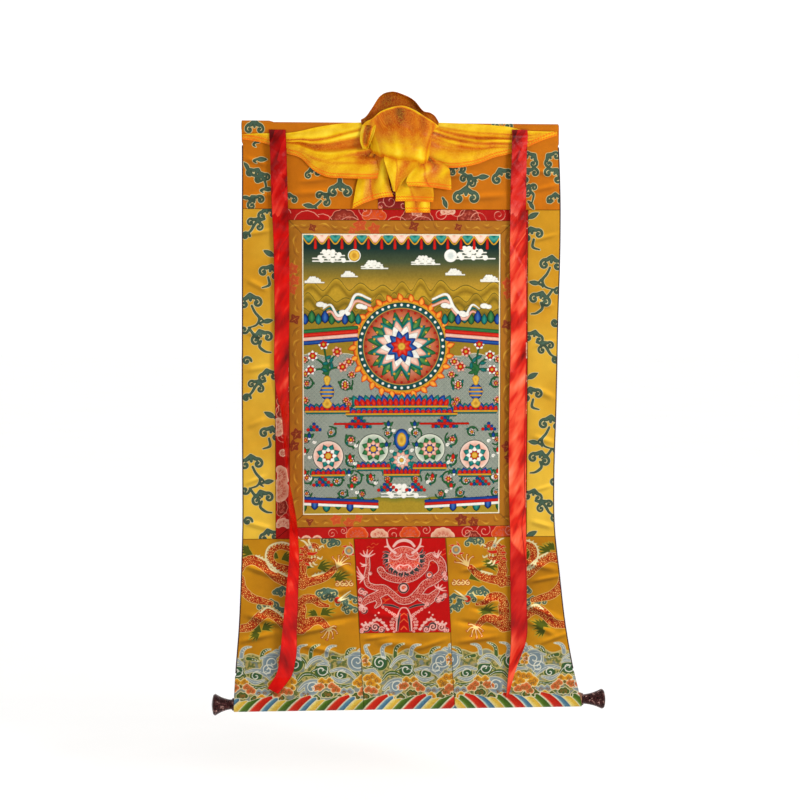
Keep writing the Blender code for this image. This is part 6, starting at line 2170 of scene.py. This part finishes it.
def canvas_finish():
    """Matt paint in layers. The lake's ripples are rows of small arcs, worked out from the place itself."""
    finish = Finish("painted canvas", roughness=0.8, specular_ior_level=0.08)
    parts = finish.add("SeparateXYZ", None, {0: finish.place}).outputs
    across, up = finish.math("DIVIDE", parts[0], MM), finish.math("DIVIDE", parts[2], MM)
    colour = finish.bands(up, [
        (-830, 150, 124, 30), (-420, 176, 140, 40), (-345, 188, 146, 44),
        (-322, 140, 116, 40), (-292, 70, 80, 52), (-262, 18, 46, 44), (-232, 8, 30, 34)])
    rim = 92, 84, 30
    for row, (deep, light) in enumerate((
        ((140, 108, 26), (190, 150, 40)),
        ((122, 98, 26), (176, 138, 36)),
        ((108, 94, 28), (154, 124, 36)),
    )):
        stops = (-0.6, *rim), (0.4, *rim), (0.9, *light), (9, *deep), (16, *light)
        colour = finish.layer(colour, "hills%d" % row, *stops, soft=0.4)
    wide, high = 10.0, 5.0
    rows = finish.math("DIVIDE", up, high)
    shift = finish.times(finish.math("FLOOR", rows), 0.5)
    cell = finish.math("FRACT", finish.plus(finish.math("DIVIDE", across, wide), shift))
    side = finish.times(finish.math("SUBTRACT", cell, 0.5), wide)
    rise = finish.times(finish.math("FRACT", rows), high)
    reach = finish.math("SQRT", finish.plus(finish.times(side, side), finish.times(rise, rise)))
    arcs = finish.scale(finish.sine(finish.times(reach, 2.6)), -0.5, 0.5)
    water = finish.mix(arcs, rgb(96, 112, 102), rgb(176, 178, 162))
    colour = finish.layer(colour, "lake", (0.0, 220, 214, 180))
    colour = finish.mix(finish.scale(finish.field("lake"), 0.8, 1.4), colour, water)
    colour = finish.layer(colour, "shore", (0.0, 110, 116, 40), (12, 170, 140, 40))
    # Each paint's stops: a distance from its edge in millimetres, then red, green and blue
    for field, *stops in (
        ("flames", (0, 120, 20, 10), (2, 220, 80, 20), (6, 240, 150, 40)),
        ("fire", (-1, 120, 24, 10), (0, 222, 70, 20), (3, 246, 170, 60)),
        ("wheel", (0, 190, 140, 30), (2.5, 206, 160, 40), (3, 20, 60, 60), (14, 24, 84, 80),
         (14.8, 214, 170, 60), (16, 150, 60, 40), (26, 196, 96, 60), (96, 206, 214, 196)),
        ("line", (0, 40, 52, 46)),
        ("pale", (0, 224, 224, 204), (8, 176, 190, 168), (20, 120, 146, 130)),
        ("rose", (0, 240, 214, 196), (8, 232, 178, 156), (20, 206, 116, 96)),
        ("dark", (0, 16, 34, 30)),
        ("green", (-0.9, 20, 44, 26), (-0.1, 30, 84, 44), (3, 52, 120, 66), (7, 96, 150, 80)),
        ("teal", (-0.9, 16, 44, 46), (-0.1, 14, 88, 84), (3, 30, 128, 118), (8, 90, 166, 150)),
        ("pink", (-0.9, 150, 60, 50), (-0.1, 230, 160, 138), (4, 244, 206, 184)),
        ("white", (-0.9, 50, 70, 66), (-0.1, 236, 232, 218), (3, 246, 242, 232), (9, 206, 212, 204)),
        ("blue", (-0.9, 10, 20, 50), (-0.1, 18, 44, 110), (2, 28, 72, 150), (6, 70, 120, 180)),
        ("red", (-0.9, 90, 10, 10), (-0.1, 176, 18, 14), (2.4, 214, 40, 26), (6, 232, 96, 60)),
        ("gold", (-0.8, 80, 50, 14), (0, 206, 152, 36), (3, 230, 184, 70), (8, 196, 140, 40)),
    ):
        colour = finish.layer(colour, field, *stops)
    smoked = finish.scale(up, -232, -420, 1.0, 0.88)
    colour = finish.shade(colour, smoked)
    colour = finish.layer(colour, "rim", (0.0, 232, 222, 190))
    brush = finish.noise(260, 4)
    colour = finish.shade(colour, finish.scale(brush, 0.3, 0.7, 0.9, 1.08))
    finish.raise_up(brush, 0.25)
    finish.raise_up(finish.scale(finish.field("gold"), -0.5, 0.3), 0.4)
    return finish.finish(finish.mottle(finish.weave(colour, 0.5 * MM, 0.06, 0.3), 20, 0.95, 1.04))


left, right, top, bottom = PICTURE
canvas_grid = flat_grid(upright(left), upright(right), level(top), level(bottom), 1.75 * MM, CANVAS)
sheet_piece("painting_canvas", canvas_grid, picture_pattern, canvas_finish())

# %% [markdown]
# ## Rods and knobs
#
# The rods are turned wood, hidden but for their ends. The roller's two knobs are cast in bronze: a
# collar, then a bell that flares from a narrow waist to its lip, engraved with scrolls, with painted
# pinkish highlights on its ridges.


# %% Rods
def wood_finish():
    """Grain of a turned stick: a noise drawn out along its length, with darker pores."""
    finish = Finish("turned wood", roughness=0.55)
    long = finish.add("Mapping", None, {"Vector": finish.place, "Scale": (6, 110, 110)}).outputs[0]
    grain = finish.noise(1.2, 5, long)
    colour = finish.bands(grain, [(0.3, 92, 52, 28), (0.5, 142, 92, 54), (0.7, 170, 120, 76)])
    pores = finish.scale(finish.noise(5, 2, long), 0.62, 0.7)
    colour = finish.mix(pores, colour, rgb(70, 38, 20))
    finish.raise_up(grain, 0.6)
    return finish.finish(colour)


WOOD = wood_finish()
for node in ("top_rod", "bottom_roller"):
    for material_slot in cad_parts[node].material_slots:
        material_slot.material = WOOD


# %% Knobs
def knob(node, base_x, hand, length, flare):
    """A turned profile swept round the x axis: its rows are radius and distance from the roller, in
    millimetres. The bell widens ever faster to its lip, and shallow lobes wind along it."""
    collar = [(0.01, 0.0), (12.6, 0.0), (13.2, 0.6), (13.2, 3.4), (12.4, 4.2), (10.6, 5.2)]
    waist, bell_start, bell_end = 10.4, 6, length - 8.6
    s = np.linspace(0, 1, 30)
    bell = np.stack([waist + (flare - waist) * s ** 1.9, bell_start + (bell_end - bell_start) * s], 1)
    lip = [(flare + 0.1, length - 8), (flare - 0.4, length - 6), (flare * 0.93, length - 4.6),
           (flare * 0.86, length - 3.4), (flare * 0.6, length - 2.0), (flare * 0.3, length - 0.8),
           (0.01, length)]
    radii, along = np.concatenate([collar, bell, lip]).T[:, :, None]
    around = np.linspace(0, 2 * np.pi, 97)[None, :]
    on_bell = fade(along, 10, 18) * fade(along, length - 8, length - 12)
    lobes = 0.4 * on_bell * np.abs(np.sin(6 * around + 1.2 * np.sin(along / 3.5)))
    r = (radii + lobes * (radii > 1)) * MM
    x = base_x + hand * along * MM + 0 * around
    points = np.stack([x, r * np.cos(around), ROLLER_HEM.centre_z + r * np.sin(around)], -1)
    index = np.arange(points[:, :-1, 0].size).reshape(len(radii), -1)
    index = np.concatenate([index, index[:, :1]], 1)
    quads = grid_quads(index)
    mesh = mesh_from(node + "_cast", points[:, :-1].reshape(-1, 3), quads if hand > 0 else quads[:, ::-1])
    place_piece(node + "_cast", mesh, [BRONZE], [node])


def bronze_finish():
    """Dark patinated bronze: painted pinkish highlights on its ridges, black in the cuts of the engraving."""
    finish = Finish("engraved bronze", roughness=0.3, metallic=0.85)
    scrolls = finish.add("TexVoronoi", {"feature": "SMOOTH_F1"},
                         {"Vector": finish.place, "Scale": 170.0, "Smoothness": 0.2}).outputs["Distance"]
    cuts = finish.scale(finish.sine(finish.times(scrolls, 20)), -0.3, 0.5)
    colour = finish.mix(cuts, rgb(22, 8, 9), rgb(74, 36, 34))
    # Pinkish flecks on the ridges: painted highlights.
    painted_glint = finish.times(cuts, finish.scale(finish.noise(110, 3), 0.56, 0.68))
    colour = finish.mix(painted_glint, colour, rgb(216, 164, 152))
    finish.raise_up(cuts, 1.0)
    return finish.finish(finish.mottle(colour, 50, 0.8, 1.1), 0.6, 0.0008)


BRONZE = bronze_finish()
knob("knob_left", -357.8 * MM, -1, 48, 22.5)
knob("knob_right", 388.8 * MM, 1, 53, 21.0)

# %% [markdown]
# ## The floor

# %% Floor
floor_finish = Finish("pale floor", roughness=0.9)
floor_finish.finish(floor_finish.mottle(rgb(253, 253, 252), 3, 0.99, 1.01))
FLOOR_REACH, FLOOR_Z = 40.0, -1.5
corners = np.array([(-1, -1), (1, -1), (1, 1), (-1, 1)]) * FLOOR_REACH
corners = np.column_stack([corners, np.full(4, FLOOR_Z)])
floor = bpy.data.objects.new("floor", mesh_from("floor", corners, np.array([[0, 1, 2, 3]])))
floor.data.materials.append(floor_finish.material)
bpy.context.scene.collection.objects.link(floor)
